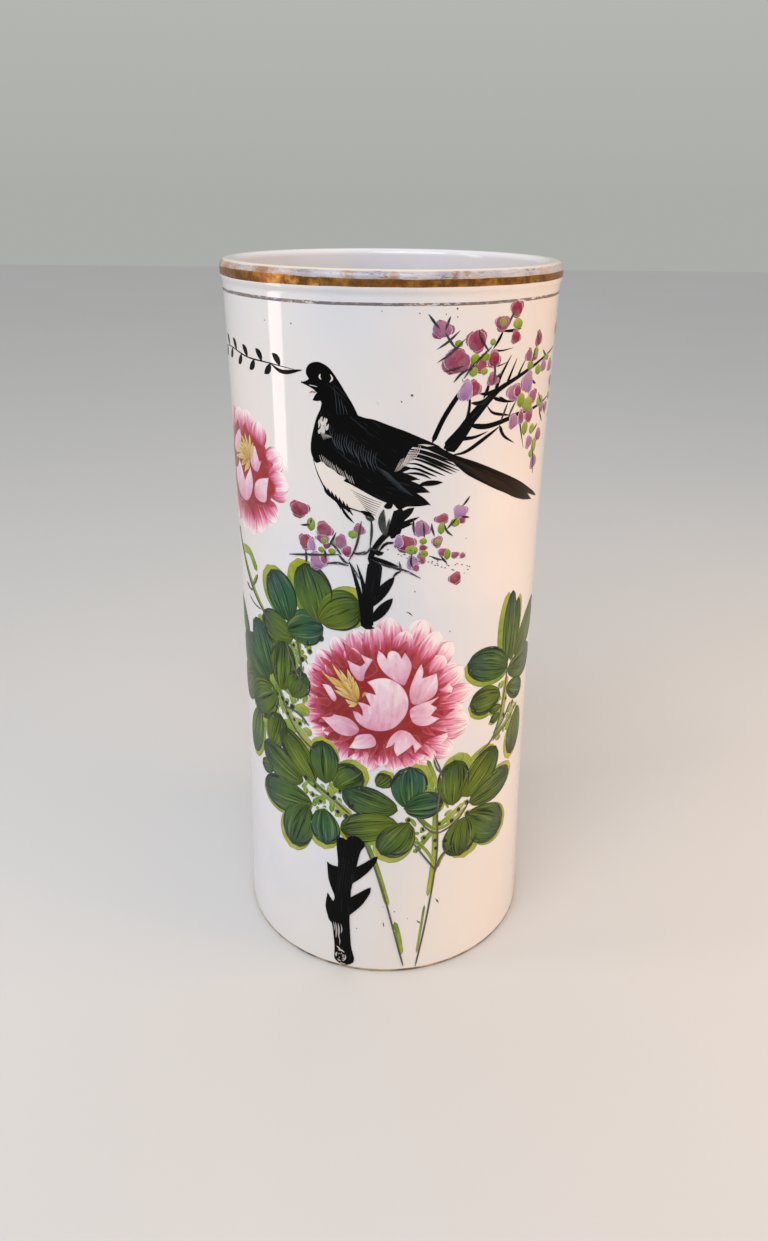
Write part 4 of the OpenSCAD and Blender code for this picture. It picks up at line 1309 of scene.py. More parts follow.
    def halos(self, wall: Wall) -> Motif:
        """Paints the lime washes that stand out round the leaves, and the lime buds."""
        motif = Motif("leaf_halo_washes", wall, 11)
        for leaf in self.leaves:
            if leaf.halo:
                motif.stroke(leaf.spine(1.9, leaf.halo), leaf.width * self.full * 1.06, Form.LEAF,
                             motif.hand.random())
        for s, z, w, h in self.dabs:
            motif.stroke([(s, z - h / 2), (s + 0.2, z), (s, z + h / 2)], w, Form.DAB, motif.hand.random())
        for s, z in self.seeds:
            motif.stroke([(s + 0.2, z - 1.6), (s, z), (s + 0.2, z + 1.6)], 2.7, Form.DAB, motif.hand.random())
        for low, high, count in self.flecks:
            for _ in range(count):
                s, z = np.array(low) + motif.hand.random(2) * (np.array(high) - low)
                way = (motif.hand.random(2) - 0.5) * (3.4, 5.4)
                motif.stroke([(s - way[0], z - way[1]), (s + 0.3, z), (s + way[0], z + way[1])],
                             1.1 + 1.5 * motif.hand.random(), Form.DAB, motif.hand.random())
        for line, width in self.fills:
            motif.stroke(line, width, Form.RIBBON, 0.6)
        return motif

    def blades(self, wall: Wall) -> Motif:
        """Paints the leaves themselves."""
        motif = Motif("leaf_blades", wall, 12)
        for leaf in self.leaves:
            motif.stroke(leaf.spine(1.2), leaf.width * self.full, Form.LEAF, leaf.tint, pitch=1.3, dome=0.02)
        return motif

    def outlines(self, wall: Wall) -> Motif:
        """Draws the dark lines at the leaves' tips and edges, the stems and the seeds."""
        motif = Motif("stem_lines", wall, 13)
        for leaf in self.leaves:
            side = leaf.ways()[1]
            for turn, start, stop, w in ((1, 0.3, 0.98, 0.7), (-1, 0.55, 1.0, 0.9)):
                if motif.hand.random() < 0.25:
                    continue
                v = np.linspace(start, stop, 5)
                mid = flowing(leaf.spine(), 20)[(v * 20).astype(int)]
                off = Form.LEAF.width(v) * leaf.width * self.full / 2 * turn * 0.96
                motif.stroke([p + side * o for p, o in zip(mid, off)], w, Form.REED, 1.0)
        for line in self.stems:
            motif.stroke(line, 0.75, Form.RIBBON, 0.35, pitch=2.0)
        for s, z in self.seeds:
            r = 0.7 + 0.4 * motif.hand.random()
            motif.stroke([(s, z - r), (s + 0.15, z), (s, z + r)], r * 1.7, Form.DAB, 1.0)
        return motif

    def build(self, wall: Wall, glaze: Glaze, enamels: dict) -> None:
        """Paints and dresses the foliage.

        Args:
            wall: The wall it is painted on.
            glaze: The glaze under it.
            enamels: The materials by slot.
        """
        green = Enamel("leaf_enamel", ((0.0, "56641a"), (0.45, "5e701e"), (0.8, "46581a"), (1.0, "2e3e14")),
                       ((0.0, "1c4024"), (0.45, "2a563c"), (0.8, "2c504c"), (1.0, "1c3634")), hairs=12,
                       stretch=0.45, ragged=0.4, light="8a9a50", light_share=0.42, light_at=0.57,
                       dark="0a1207", dark_share=0.85, dark_at=0.38, rim="182414", rim_share=0.5, rim_mm=0.5,
                       roughness=0.28, gloss=0.1, relief=0.00006, blot=0.02)
        ink = Enamel("stem_enamel", ((0.0, "6b6552"), (1.0, "5c5a4a")), ((0.0, "171a15"), (1.0, "141913")),
                     hairs=9, dry=0.08, roughness=0.3, gloss=0.3, blot=0.05)
        lay(self.halos(wall), enamels, "lime_enamel", "leaf_halos")
        dress(self.blades(wall).make(), green.make(glaze), green.slot, "leaves")
        dress(self.outlines(wall).make(), ink.make(glaze), ink.slot, "leaf_stems", "seed_dots")


# Plum tree ------------------------------------------------------------------------


@dataclass
class PlumTree:
    """The old plum: its two stretches of trunk, the branches, twigs, blossoms and buds."""

    full: float = 1.12   # how much the dabs spread while wet
    stump: tuple = (
        (-17, 1.9), (-20.2, 4), (-20.4, 8), (-20.4, 12), (-21.4, 22), (-22.8, 24.4), (-24.2, 30), (-24, 34),
        (-23.4, 37.6, C), (-22.2, 35.6), (-21, 34, C), (-20.3, 37), (-22, 42), (-23, 46), (-23.5, 53.4, C),
        (-22, 52.4), (-18.9, 52.2, C), (-18.8, 56), (-19.3, 62), (-19.1, 66), (-17.4, 67), (-15.4, 66.2, C),
        (-14.4, 68), (-12, 69), (-9.6, 68), (-7.8, 65), (-9.4, 62), (-10.4, 58), (-11.2, 53.6, C), (-7, 57),
        (-4.4, 59.2), (-2.8, 59.8, C), (-3.4, 57), (-6.5, 52), (-10, 48), (-13, 44.6), (-13.6, 38, C),
        (-10, 41), (-7, 43.4), (-5.4, 44.1, C), (-5.9, 41), (-9, 35), (-13, 30), (-14, 28.4), (-13.8, 20),
        (-13.3, 12), (-12.1, 6), (-12.9, 3.6), (-15.5, 2))
    upper: tuple = (  # strokes of the trunk between the flower and the bird
        (((-7, 159.6), (-7.2, 168), (-6, 177), (-5, 185.6)), 4.2, "RIBBON"),
        (((-8, 160.6), (-9.4, 170), (-11.4, 178), (-13.6, 184.6)), 2.8, "TAPER"),
        (((-7.4, 168), (-8.9, 177), (-11, 184)), 2.2, "TAPER"), (((-6.4, 162), (-2.6, 166.4), (1.7, 171.7)),
         3.8, "REED"), (((-6.2, 168), (-2.2, 174), (2.2, 179.8)), 3.8, "REED"),
        (((-4.2, 172), (-3.4, 179), (-2.8, 184.8)), 1.8, "RIBBON"), (((-9.4, 164), (-8.4, 160.8),
          (-4.6, 160)), 2.0, "REED"), (((1, 193.8), (2.6, 199), (4.2, 204.6)), 4.6, "RIBBON"),
        (((2.6, 199), (5, 202), (8.6, 204.8)), 3.0, "REED"), (((0.4, 195.4), (5, 199), (10.4, 201.4)), 1.6,
         "REED"), (((2, 196.6), (5.6, 198.4), (8.4, 199.2)), 1.2, "REED"),
        (((0.6, 196.6), (-2.6, 193.4), (-5.4, 189), (-6.6, 184.6)), 2.0, "RIBBON"),
        (((-1.6, 195.4), (-4, 191.6), (-6.8, 189)), 1.2, "REED"), (((-6.4, 187.4), (-2, 185.6),
          (3.6, 183.6)), 1.4, "REED"), (((-5.6, 190), (-3.4, 188.4), (-1.6, 188.8)), 1.8, "REED"),
        (((-3.4, 189), (-1, 192), (2.4, 192.4)), 1.0, "REED"), (((-6.6, 186), (-4, 185.2), (-2, 184.4)),
         2.0, "REED"))
    limbs: tuple = (  # line, width and form of each stroke of the limbs
        (((19, 223.6), (24, 229), (29, 235), (34, 239.4), (38.4, 242)), 5.6, "TAPER"),
        (((18, 224.6), (22, 226.6), (26, 232), (32, 238)), 3.6, "RIBBON"),
        (((27, 233), (34, 239.4), (40, 243.2), (45, 245)), 3.8, "TAPER"), (((36, 240.6), (40, 243),
          (47, 245.4), (55, 247.7), (65, 250), (78, 252)), 1.7, "TAPER"), (((14, 226.6), (17, 233.4),
          (20, 238.4), (24, 243.8)), 1.7, "RIBBON"), (((25.6, 232), (26.6, 237), (26.4, 241), (23.4, 247)),
         1.3, "TAPER"), (((27, 231.6), (34, 230.6), (43, 231.8), (50, 233), (60, 233.4), (78, 235.5)), 2.0,
         "TAPER"), (((21, 222.2), (26, 222.8), (33, 226.4), (40, 230)), 1.4, "REED"),
        (((39.6, 230.4), (42, 226.4), (47.8, 223)), 1.5, "TAPER"), (((23.4, 227.4), (29, 227.4),
          (34.6, 228.8)), 1.6, "TAPER"), (((33.6, 237.6), (36.4, 234.8), (44.6, 233)), 1.0, "REED"),
        (((38.4, 240), (42.6, 238), (48.4, 237.6)), 1.0, "TAPER"), (((27, 239), (31, 238.6), (35.4, 240.6)),
         1.7, "REED"), (((30, 241.8), (33.4, 241.4), (38, 242.8)), 1.3, "REED"),
        (((36.6, 241.4), (38.6, 246.6), (43, 253)), 1.6, "TAPER"), (((32, 240), (33.4, 243), (33.8, 245)),
         1.3, "REED"), (((35.6, 240), (41, 238.2), (47, 237.4)), 1.4, "TAPER"),
        (((41.6, 243.4), (43.6, 247.4), (46, 251.8)), 1.2, "TAPER"), (((46.6, 244.8), (48.6, 248),
          (51, 251)), 1.1, "TAPER"), (((32.4, 250.2), (37, 250), (41.6, 251)), 0.7, "TAPER"),
        (((34, 255.4), (38, 254.8), (43.6, 255.3)), 0.8, "TAPER"), (((34.6, 255.6), (37, 258.6),
          (38.6, 261.4)), 1.1, "REED"), (((37.6, 261), (42, 260.8), (47, 261.2)), 1.0, "REED"),
        (((50, 231), (51.6, 226), (54, 220)), 0.9, "TAPER"))
    twigs: tuple = (  # places that each twig runs through
        ((14.4, 256.4), (18, 258.6), (22, 262)), ((14.8, 252.4), (19, 255), (24, 259.4)),
        ((20.6, 246), (23, 248.6), (26.4, 250.2)), ((17, 249.5), (21, 250.2), (25, 251.5)),
        ((11.4, 267.2), (13.6, 264.4), (15.2, 262.6)), ((18.6, 266.4), (17.6, 264), (17, 262)),
        ((17, 261.5), (19, 258.6), (21.4, 256)), ((24, 247), (28, 251.6), (34, 256.4)),
        ((28.6, 262), (30, 258.6), (33, 255)), ((35.4, 252), (36, 248), (35.4, 244)),
        ((36.6, 246.4), (38, 247), (39.4, 247.6)), ((40.6, 263), (42, 265.4), (43.4, 267)),
        ((43, 237.6), (41.6, 234.6), (40, 231.4)), ((47, 237.4), (45, 234.6), (43.6, 232)),
        ((54.5, 249), (55.5, 251.4), (56.4, 254)), ((58.4, 256), (57.6, 258), (57, 259.4)),
        ((56, 243.4), (57.4, 242.4), (59, 241.8)), ((60, 224.6), (62, 226), (64, 227)),
        ((60, 220), (62, 216), (63.4, 209)), ((62.4, 238), (64, 235.6), (66, 234)),
        ((64, 233), (66, 229.6), (68.6, 227)), ((68, 234), (70, 231), (72, 229)),
        ((63, 252.6), (65, 251), (67, 250)), ((-38, 183.6), (-28, 185.4), (-17.4, 187)),
        ((-17.6, 187), (-15.4, 184.6), (-13.8, 184)), ((-13.8, 184.6), (-11.6, 181), (-10, 178.6)),
        ((-22.4, 183), (-18, 183.8), (-14, 183.2)), ((-14, 185), (-12, 188.6), (-10.6, 193), (-9.4, 199.8)),
        ((-12.4, 188), (-10, 188), (-8, 189)), ((-21.4, 189), (-19.6, 192.4), (-18.4, 195)),
        ((-16.6, 187), (-18.6, 189.4), (-20.4, 191.4)), ((-32.4, 195.6), (-30, 196), (-28, 196.8)),
        ((-27.4, 199), (-28.4, 197), (-29, 195.6)), ((-30.4, 186.4), (-30.2, 184), (-30.4, 182)),
        ((-22.8, 188), (-22.4, 186), (-22.6, 184.6)), ((-6.6, 186.4), (-1, 184), (6, 182), (11.4, 179)),
        ((4, 181.6), (4.2, 183.4), (3.8, 185.4)), ((1.6, 179.8), (3, 181.2), (4.4, 181.8)),
        ((8.4, 201), (8.4, 198), (8.8, 195)), ((14.8, 199), (15, 197), (16, 194)),
        ((11.8, 199.4), (12.2, 196.6), (12.4, 193.8)), ((28.8, 207.2), (27.4, 205.4), (26, 204)),
        ((29, 199.6), (27, 200), (25.6, 200.6)), ((19.4, 198.4), (20.4, 195.6), (22.8, 193.6)),
        ((20.4, 196.4), (22.4, 198.4), (24, 200)), ((8, 188), (7.8, 185), (8.6, 183)),
        ((14.6, 187), (17, 185.8), (19.4, 185)), ((18.6, 186.4), (20, 184.8), (21, 183.8)))
    blossoms: tuple = (  # place, half width, half height, tint from ruby to lilac
        (16, 262.5, 3.5, 2.7, 0.35), (21.5, 252.5, 5, 3.9, 0), (28.2, 258.5, 3.6, 3.6, 0.1),
        (30, 250.8, 2.7, 2.2, 0), (35.2, 252.4, 2.6, 2.8, 0.2), (35.2, 246, 2.3, 2.2, 0.15),
        (28, 243.6, 2.6, 2.8, 0.1), (25, 243, 2.4, 3.4, 1), (37.8, 263.4, 3.2, 2.4, 0.1),
        (44, 267.5, 3, 2.7, 0), (44.5, 258.6, 2.4, 2.2, 0), (45.8, 240.6, 3.6, 2.8, 0.6),
        (47.6, 240.8, 2, 2.4, 0), (53, 243, 3.5, 3.6, 0.85), (57.6, 237.6, 3, 2.4, 0.3),
        (46.6, 230.6, 2.6, 2.6, 0.8), (50.6, 231.4, 1.8, 2.6, 0.2), (55.8, 231.2, 2.8, 2.4, 0.3),
        (58.6, 256.8, 2.5, 2.6, 0.2), (52.6, 252, 2.2, 2.2, 0.2), (56.6, 251.6, 1.9, 2, 0.2),
        (64.6, 247, 3, 2, 0.7), (57.6, 221.6, 2.6, 2.2, 0.8), (65.5, 222.6, 3.2, 2.2, 0.3),
        (62.8, 213.4, 3, 2.6, 0.5), (52.6, 235.6, 2.2, 2, 0.1), (66.5, 232.4, 2.2, 1.8, 0.6),
        (72, 231.6, 2.4, 2, 0.5), (73, 246, 3.6, 2.2, 0.6), (80, 258, 3.4, 2.6, 0.4),
        (77, 240, 2.6, 2.2, 0.3), (82, 228, 3, 2.4, 0.5), (-32.6, 201.4, 4.2, 2.9, 0),
        (-22.8, 195.3, 3.2, 2.8, 0.2), (-30.5, 189.8, 2.7, 3.1, 0), (-27.8, 189.2, 1.6, 2.6, 0.9),
        (-25.3, 183.6, 3.5, 3.2, 0.8), (-23, 184.6, 1.6, 2, 0.1), (-16.8, 191.6, 2.4, 2.8, 0.35),
        (-14.6, 188.4, 1.9, 1.9, 0), (-22, 189.8, 1.6, 1.4, 0), (-10.2, 196.6, 2.2, 2.1, 0.15),
        (-23.6, 191.8, 2.6, 1.6, 0.4), (6, 192, 3.4, 3, 0.05), (3.4, 192.6, 1.6, 2.4, 1),
        (11.4, 197, 2.9, 2.8, 0.6), (18.5, 200.2, 2.6, 1.8, 0.1), (25.3, 202, 2.8, 2.6, 0.9),
        (26, 199, 1.6, 1.4, 0.2), (17, 192, 2, 2.1, 0.3), (12, 190.2, 1.6, 1.2, 0),
        (11.4, 186.4, 1.7, 2.4, 0.15), (8.4, 185, 2.2, 2.6, 1), (9.6, 183, 1.4, 1.4, 0.4),
        (19.2, 188, 1.9, 1.6, 0.1), (24, 186.4, 1.8, 1.2, 0.1), (27, 185.8, 1.3, 1.1, 0.1),
        (24.4, 177.6, 2.5, 2.4, 0))
    buds: tuple = (  # place, half width and half height
        (21.8, 258, 1.5, 1.2), (27.8, 252.8, 1.8, 2), (31.6, 253.4, 1.9, 1.4), (27.4, 249, 1.7, 1.7),
        (31.6, 248.8, 1.4, 1.2), (34.4, 257.8, 1.2, 1.2), (45, 262.8, 2.4, 1.8), (49.8, 237.4, 2.2, 2.6),
        (54.4, 235.4, 3, 2.8), (54, 248.5, 2, 1.6), (57, 252.6, 1.8, 1.8), (60, 246.3, 2.4, 1.8),
        (64, 235, 3, 2.2), (59, 226, 2, 2), (62, 219.6, 2.1, 2.8), (53.6, 227.2, 2, 2.6), (60, 217, 2, 1.6),
        (38, 263.8, 1.4, 1.4), (67.5, 249.6, 2.6, 1.2), (76, 235, 3, 1.6), (-28, 196.6, 1.8, 2.6),
        (-12.4, 194.8, 1.7, 1.6), (-23, 191.4, 1.2, 1.2), (-24, 188, 1.3, 1.2), (-20, 187.8, 1.5, 1.2),
        (-19.8, 191, 1.1, 1.2), (18.4, 196.8, 1.4, 2.3), (23.4, 198.4, 1.9, 1.6), (8, 189.6, 2.2, 1.8),
        (12, 192.6, 1.4, 1.2), (12.4, 188, 1.5, 1.4), (21, 187, 1.3, 2.1), (17.2, 192, 1.1, 1.2))

    @staticmethod
    def strokes(name: str, lines: tuple, wall: Wall, seed: int, tint: float) -> Motif:
        """Draws a set of strokes, each a line, a width and a form's name."""
        motif = Motif(name, wall, seed)
        for line, width, form in lines:
            motif.stroke(line, width, Form[form], tint)
        return motif

    def trunk(self, wall: Wall) -> Motif:
        """Lays the trunk at the foot, with its rubbed streaks."""
        motif = Motif("lower_trunk", wall, 41)
        motif.wash(self.stump, (-16.5, 2), (-13, 68))
        for k in range(7):
            s = -20 + 1.1 * k
            motif.stroke([(s, 30 + 2 * k), (s + 0.8, 42 + k), (s + 2.4, 60 - k)], 0.5, Form.REED, 0.8)
        return motif

    @staticmethod
    def rubs(wall: Wall) -> Motif:
        """Shows the glaze through the trunk where it is rubbed."""
        motif = Motif("trunk_rubs", wall, 45)
        for s, low, high, w in ((-19.7, 15.6, 23.8, 0.7), (-18.6, 15.8, 23.6, 0.8), (-17.4, 18.6, 23.4, 0.5),
                                (-20.6, 19, 23.8, 0.4), (-18.2, 12, 17, 0.4)):
            motif.stroke([(s, low), (s + 0.2, (low + high) / 2), (s - 0.2, high)], w, Form.REED, 0.5)
        for start, stop, far, width in ((-1.2, 0.5, 2.2, 0.6), (0.8, 2.0, 2.5, 0.8), (2.4, 3.5, 1.9, 0.7),
                                        (4.0, 4.9, 2.1, 0.5)):
            motif.stroke([(-17.8 + far * math.cos(a), 6.4 + 1.25 * far * math.sin(a))
                          for a in np.linspace(start, stop, 5)], width, Form.REED, 0.3)
        for _ in range(9):
            s, z = -19 + 3 * motif.hand.random(), 4.4 + 3.6 * motif.hand.random()
            motif.stroke([(s, z), (s + 0.3, z + 0.5), (s + 0.3, z + 1)], 0.4, Form.REED, 0.5)
        motif.stroke([(-19.4, 11.4), (-18.2, 10.2), (-17.4, 9.4)], 0.7, Form.REED, 0.3)
        motif.stroke([(-18, 3.0), (-16.6, 2.4), (-15.4, 2.6)], 0.6, Form.REED, 0.4)
        return motif

    def flowers(self, wall: Wall) -> Motif:
        """Dabs the blossoms on."""
        motif = Motif("plum_blossom_dabs", wall, 43)
        for s, z, w, h, tint in self.blossoms:
            turn = 6.28 * motif.hand.random()
            for share, way, off in ((0.62, 0, 0.5), (0.66, 2.1, 0.5), (0.6, 4.2, 0.5), (0.86, 0, 0)):
                lean = 0.6 * (motif.hand.random() - 0.5)
                x = s + off * w * math.cos(turn + way)
                y = z + off * h * math.sin(turn + way)
                tall, wide = h * share * self.full, 2 * w * share * self.full
                slant = tall * lean
                hue = min(1.0, max(0.0, tint + 0.4 * (motif.hand.random() - 0.6)))
                motif.stroke([(x - slant, y - tall), (x, y), (x + slant, y + tall)], wide, Form.DAB, hue,
                             pitch=1.2)
        return motif

    def green(self, wall: Wall) -> Motif:
        """Dabs the buds and sepals on."""
        motif = Motif("plum_bud_dabs", wall, 44)
        for s, z, w, h in self.buds:
            motif.stroke([(s - 0.2, z - h), (s, z), (s + 0.2, z + h)], 2 * w, Form.DAB,
                         0.6 * motif.hand.random(), pitch=1.0)
        return motif

    def fine(self, wall: Wall) -> Motif:
        """Draws the twigs and the dry specks of a splayed brush."""
        motif = Motif("plum_twig_lines", wall, 42)
        for line in self.twigs:
            motif.stroke(line, 0.85, Form.REED, 0.4 * motif.hand.random())
        for _ in range(46):
            s = -1 + 31 * motif.hand.random()
            z = 190.5 - 0.36 * s + 3.4 * (motif.hand.random() - 0.5)
            motif.stroke([(s, z), (s + 0.3, z + 0.1), (s + 0.7, z - 0.1)], 0.35, Form.DAB, 0.5)
        return motif

    def build(self, wall: Wall, enamels: dict) -> None:
        """Paints and dresses the tree, from the trunk out to the blossoms.

        Args:
            wall: The wall it is painted on.
            enamels: The materials by slot.
        """
        lay(self.trunk(wall), enamels, "black_enamel", "trunk_lower")
        lay(self.rubs(wall), enamels, "white_enamel")
        lay(self.strokes("upper_trunk", self.upper, wall, 46, 0.3), enamels, "black_enamel", "trunk_upper")
        branches = self.strokes("plum_limb_strokes", self.limbs, wall, 47, 0.2)
        lay(branches, enamels, "black_enamel", "plum_limbs")
        lay(self.flowers(wall), enamels, "ruby_enamel", "plum_blossoms")
        lay(self.green(wall), enamels, "lime_enamel", "plum_buds")
        lay(self.fine(wall), enamels, "grey_enamel", "plum_twigs")


@dataclass
class InkSprig:
    """A plain sprig of leaves where an owner's verse would stand."""

    stem: tuple = ((-82, 250.6), (-70, 251.6), (-56, 250), (-44, 249.6), (-30, 248.4))
    blade: float = 4.4

    def build(self, wall: Wall, enamels: dict) -> None:
        """Paints and dresses the sprig."""
        motif = Motif("sprig_strokes", wall, 51)
        motif.stroke(self.stem, 0.5, Form.REED, 0.4)
        line = flowing(self.stem, 12)
        for k, (s, z) in enumerate(line[1:-2]):
            up = 1 if k % 2 else -1
            rise = up * self.blade
            motif.stroke([(s, z), (s - 1.3, z + 0.5 * rise), (s - 3.4, z + 0.85 * rise)], 2.5, Form.REED, 0.2)
        motif.stroke([(-43, 249.4), (-37.5, 247.4), (-29.6, 248.8)], 1.4, Form.REED, 0.1)
        lay(motif, enamels, "black_enamel", "ink_sprig")


# Magpie ---------------------------------------------------------------------------


@dataclass
class Magpie:
    """The bird: plumage, pale belly, long tail, legs and tongue."""

    body: tuple = (
        (-30.4, 244.8, C), (-28, 245.6), (-27.2, 246.3, C), (-28.2, 248), (-27.7, 250), (-26.2, 251.3),
        (-24, 251.8), (-21.8, 251.3), (-19.6, 249.9), (-17, 246.6), (-14, 242), (-12, 238.8),
        (-10.4, 235.6, C), (-8, 234.9), (-5, 234.4), (0, 232.6), (5, 230.8), (10, 228.6), (14, 226.8),
        (17, 225.2, C), (12, 226.3), (8.5, 226.4, C), (6.6, 224.6), (5, 221.4), (4, 218.8), (7, 218.2, C),
        (4, 216.6), (10, 214.6, C), (6, 213.9), (4, 213.4, C), (8.5, 212), (13.6, 209.9, C), (9, 209.8),
        (6.2, 209.4, C), (10, 208), (14, 205.6, C), (10, 205.2), (6, 205.2), (3.4, 204.2), (1.4, 206.2, C),
        (0.8, 204.7), (-0.6, 204.4), (-1.8, 205.2), (-0.8, 206.6, C), (-2.6, 207.4), (-6, 209),
        (-11, 211.6), (-15.4, 213.4, C), (-14.6, 214.8), (-17, 215.4), (-19, 217), (-21.4, 218),
        (-23, 219.4), (-25, 218.6), (-26.2, 219.4, C), (-27.2, 222.4), (-27, 226), (-26, 230), (-24.7, 234),
        (-23.2, 237), (-22.9, 239.4), (-24.4, 239.3), (-26, 239.4, C), (-25.2, 241), (-24.4, 241.9, C),
        (-25.6, 243), (-27.6, 243.9))
    belly: tuple = (
        (-26.3, 220, C), (-25, 215.6), (-23, 211.6), (-21.2, 209), (-18, 206.6), (-14, 204.6), (-10, 203.4),
        (-6, 201.6), (-2.6, 202.4, C), (-0.6, 206.8, C), (-6, 209.2), (-11, 212), (-15, 214), (-19, 217.4),
        (-23, 220))
    tail: tuple = (
        (15.6, 225.8, C), (20.5, 222.9), (25, 221), (30, 219.1), (35, 216.9), (40, 214.6), (45, 212.3),
        (50, 209.9), (55, 207.4), (60, 204.6), (66, 201.4), (69.8, 198.8, C), (65.5, 200.1), (60, 202.2, C),
        (62, 200.6), (64.2, 198.9, C), (60, 199.8), (55, 201.2), (50, 203.1), (45, 205.6), (40, 207.9),
        (35, 210.5), (30, 213.2), (27, 215), (24, 217.4), (20, 220.8), (12, 225))
    quills: tuple = (  # dark wing and rump feathers over the pale bars
        ((8, 226.2), (13, 224.9), (20.5, 221.9)), ((8.6, 224.6), (14, 223), (22.6, 219.4)),
        ((8.8, 223), (14, 221.2), (24, 216.6)), ((9, 221.4), (14, 219.4), (21.6, 215.6)),
        ((9, 219.8), (13, 218), (19, 215.2)), ((9, 218.2), (12, 216.9), (16, 215.2)),
        ((9, 216.6), (11.6, 215.9), (14, 214.6)), ((9.4, 225.6), (15, 224.2), (21, 221)),
        ((9.6, 223.8), (15, 222), (23.4, 218)), ((9.8, 222.2), (14, 220.4), (23, 216.1)))
    wing_tips: tuple = (
        (((-6, 219.6), (0, 217.6), (10.2, 214.4)), 1.8), (((-5, 216.6), (2, 214.4), (9, 212.4),
          (13.8, 209.8)), 2.2), (((-6, 213.4), (2, 211), (9, 208.6), (14.2, 205.4)), 2.8),
        (((9.6, 212.3), (12, 213), (18.2, 213.1)), 1.9), (((-15.4, 213.8), (-9, 211.4), (0, 206.4)), 1.7),
        (((-4, 222), (1, 219.8), (8, 218.2)), 1.2))

    def plumage(self, wall: Wall) -> Motif:
        """Lays the black plumage with its feather tips, quills, tufts and vent lines."""
        motif = Motif("magpie_plumage", wall, 31)
        motif.wash(self.body, (-24, 240), (14, 212))
        for line, width in self.wing_tips:
            motif.stroke(line, width, Form.REED, 0.1)
        for line in self.quills:
            root = (line[0][0] - 3.6, line[0][1] + 0.2)
            motif.stroke([root, *line], 0.85, Form.REED, 0.3)
        for i in range(7):
            root = (-22.6 + i * 1.35, 211.4 - i * 0.95)
            motif.stroke([root, (root[0] + 0.7, root[1] - 2), (root[0] + 2.2, root[1] - 4.1)],
                         1.15 - 0.06 * i, Form.REED, 0.2)
        motif.stroke([(-16.8, 205.2), (-15, 202), (-12, 198.9)], 1.0, Form.REED)
        motif.stroke([(-18.5, 206.6), (-17, 204.6), (-16.6, 203.4)], 0.7, Form.REED)
        outline = [(-26.4, 219.6), (-25, 215.4), (-23, 211.4), (-21.2, 208.8), (-18, 206.3), (-14, 204.3),
                   (-10, 203.2), (-6, 201.6), (-4.6, 200.4)]
        motif.stroke(outline, 0.5, Form.REED, 0.6)
        motif.stroke([(-9.6, 203.4), (-7, 202.2), (-4.8, 200.6)], 1.7, Form.REED)
        for i in range(7):
            root, tip = (-13 + 0.8 * i, 210.6 - 1.05 * i), (-2.4 - 0.35 * i, 206.4 - 0.72 * i)
            mid = ((root[0] + tip[0]) / 2, (root[1] + tip[1]) / 2 - 0.3)
            motif.stroke([root, mid, tip], 0.24, Form.REED, 0.3)
        return motif

    def pale(self, wall: Wall) -> Motif:
        """Lays the cream belly."""
        motif = Motif("magpie_belly", wall, 32)
        motif.wash(self.belly, (-24, 218), (-2, 204))
        return motif

    @staticmethod
    def highlights(wall: Wall) -> Motif:
        """Draws the bib, the eye and the grey feathering over the black."""
        motif = Motif("magpie_feathering", wall, 33)
        hand = motif.hand
        for _ in range(26):
            s, z = -22.5 + 3.91 * (hand.random() - 0.5), 231.6 + 4.6 * (hand.random() - 0.5)
            width, tint = 0.5 + 0.6 * hand.random(), 0.05 + 0.25 * hand.random()
            motif.stroke([(s - 0.2, z - 0.8), (s, z), (s + 0.3, z + 0.9)], width, Form.REED, tint)
        motif.stroke([(-22.9, 248.1), (-23.3, 247.2), (-22.7, 246.3)], 0.6, Form.REED, 0.1)
        motif.stroke([(-19.5, 248.2), (-18.8, 246.9), (-19.7, 245.7)], 0.6, Form.REED, 0.1)
        for i in range(7):
            s, top, foot = -23.6 + 0.5 * i, 229.4 - 0.15 * i, 226.8 + 0.2 * i
            motif.stroke([(s, top), (s + 0.9, 228), (s + 1.4, foot)], 0.3, Form.REED, 0.7)
        for i in range(15):
            s, z = 2.6 + 0.45 * i, 216.4 + 0.35 * i + hand.random()
            mid, top = z + 2 + hand.random(), z + 4 + 0.6 * hand.random()
            motif.stroke([(s - 0.8, z), (s + 0.5, mid), (s + 1.2, top)], 0.2, Form.REED,
                         0.1 + 0.4 * hand.random())
        for i in range(16):
            s, z = -24 + 0.75 * i, 221.4 - 0.42 * i + 0.8 * hand.random()
            motif.stroke([(s, z), (s + 0.4, z - 1.2), (s + 1.0, z - 2.8)], 0.26, Form.REED, 0.55)
        for i in range(20):
            s, z = -19.5 + 0.8 * i, 230.4 - 0.42 * i + 1.6 * hand.random()
            drop = 4.5 + 3 * hand.random()
            motif.stroke([(s, z), (s - 0.5, z - drop / 2), (s + 0.6, z - drop)], 0.26, Form.REED, 1.0)
        for i in range(4):
            s, top, mid = -18.4 + 1.2 * i, 244.6 - 2 * i, 240 - 1.2 * i
            motif.stroke([(s, top), (s + 0.7, mid), (s + 0.9, 235.6)], 0.22, Form.REED, 1.0)
        for i in range(10):
            s, z = -5 + 0.9 * i, 219 - 0.85 * i
            motif.stroke([(s, z), (s + 2.6, z - 1.1), (s + 5, z - 2.4)], 0.24, Form.REED, 1.0)
        return motif

    def long_tail(self, wall: Wall) -> Motif:
        """Lays the tail with its long quills."""
        motif = Motif("magpie_tail", wall, 34)
        motif.wash(self.tail, (16, 224), (68, 199.5))
        for k in range(6):
            s, z = 20 + 2 * k, 221.6 - 1.5 * k
            motif.stroke([(s, z), (s + 14, z - 7.2), (s + 27, z - 13.6)], 0.5, Form.REED, 1.0)
        return motif

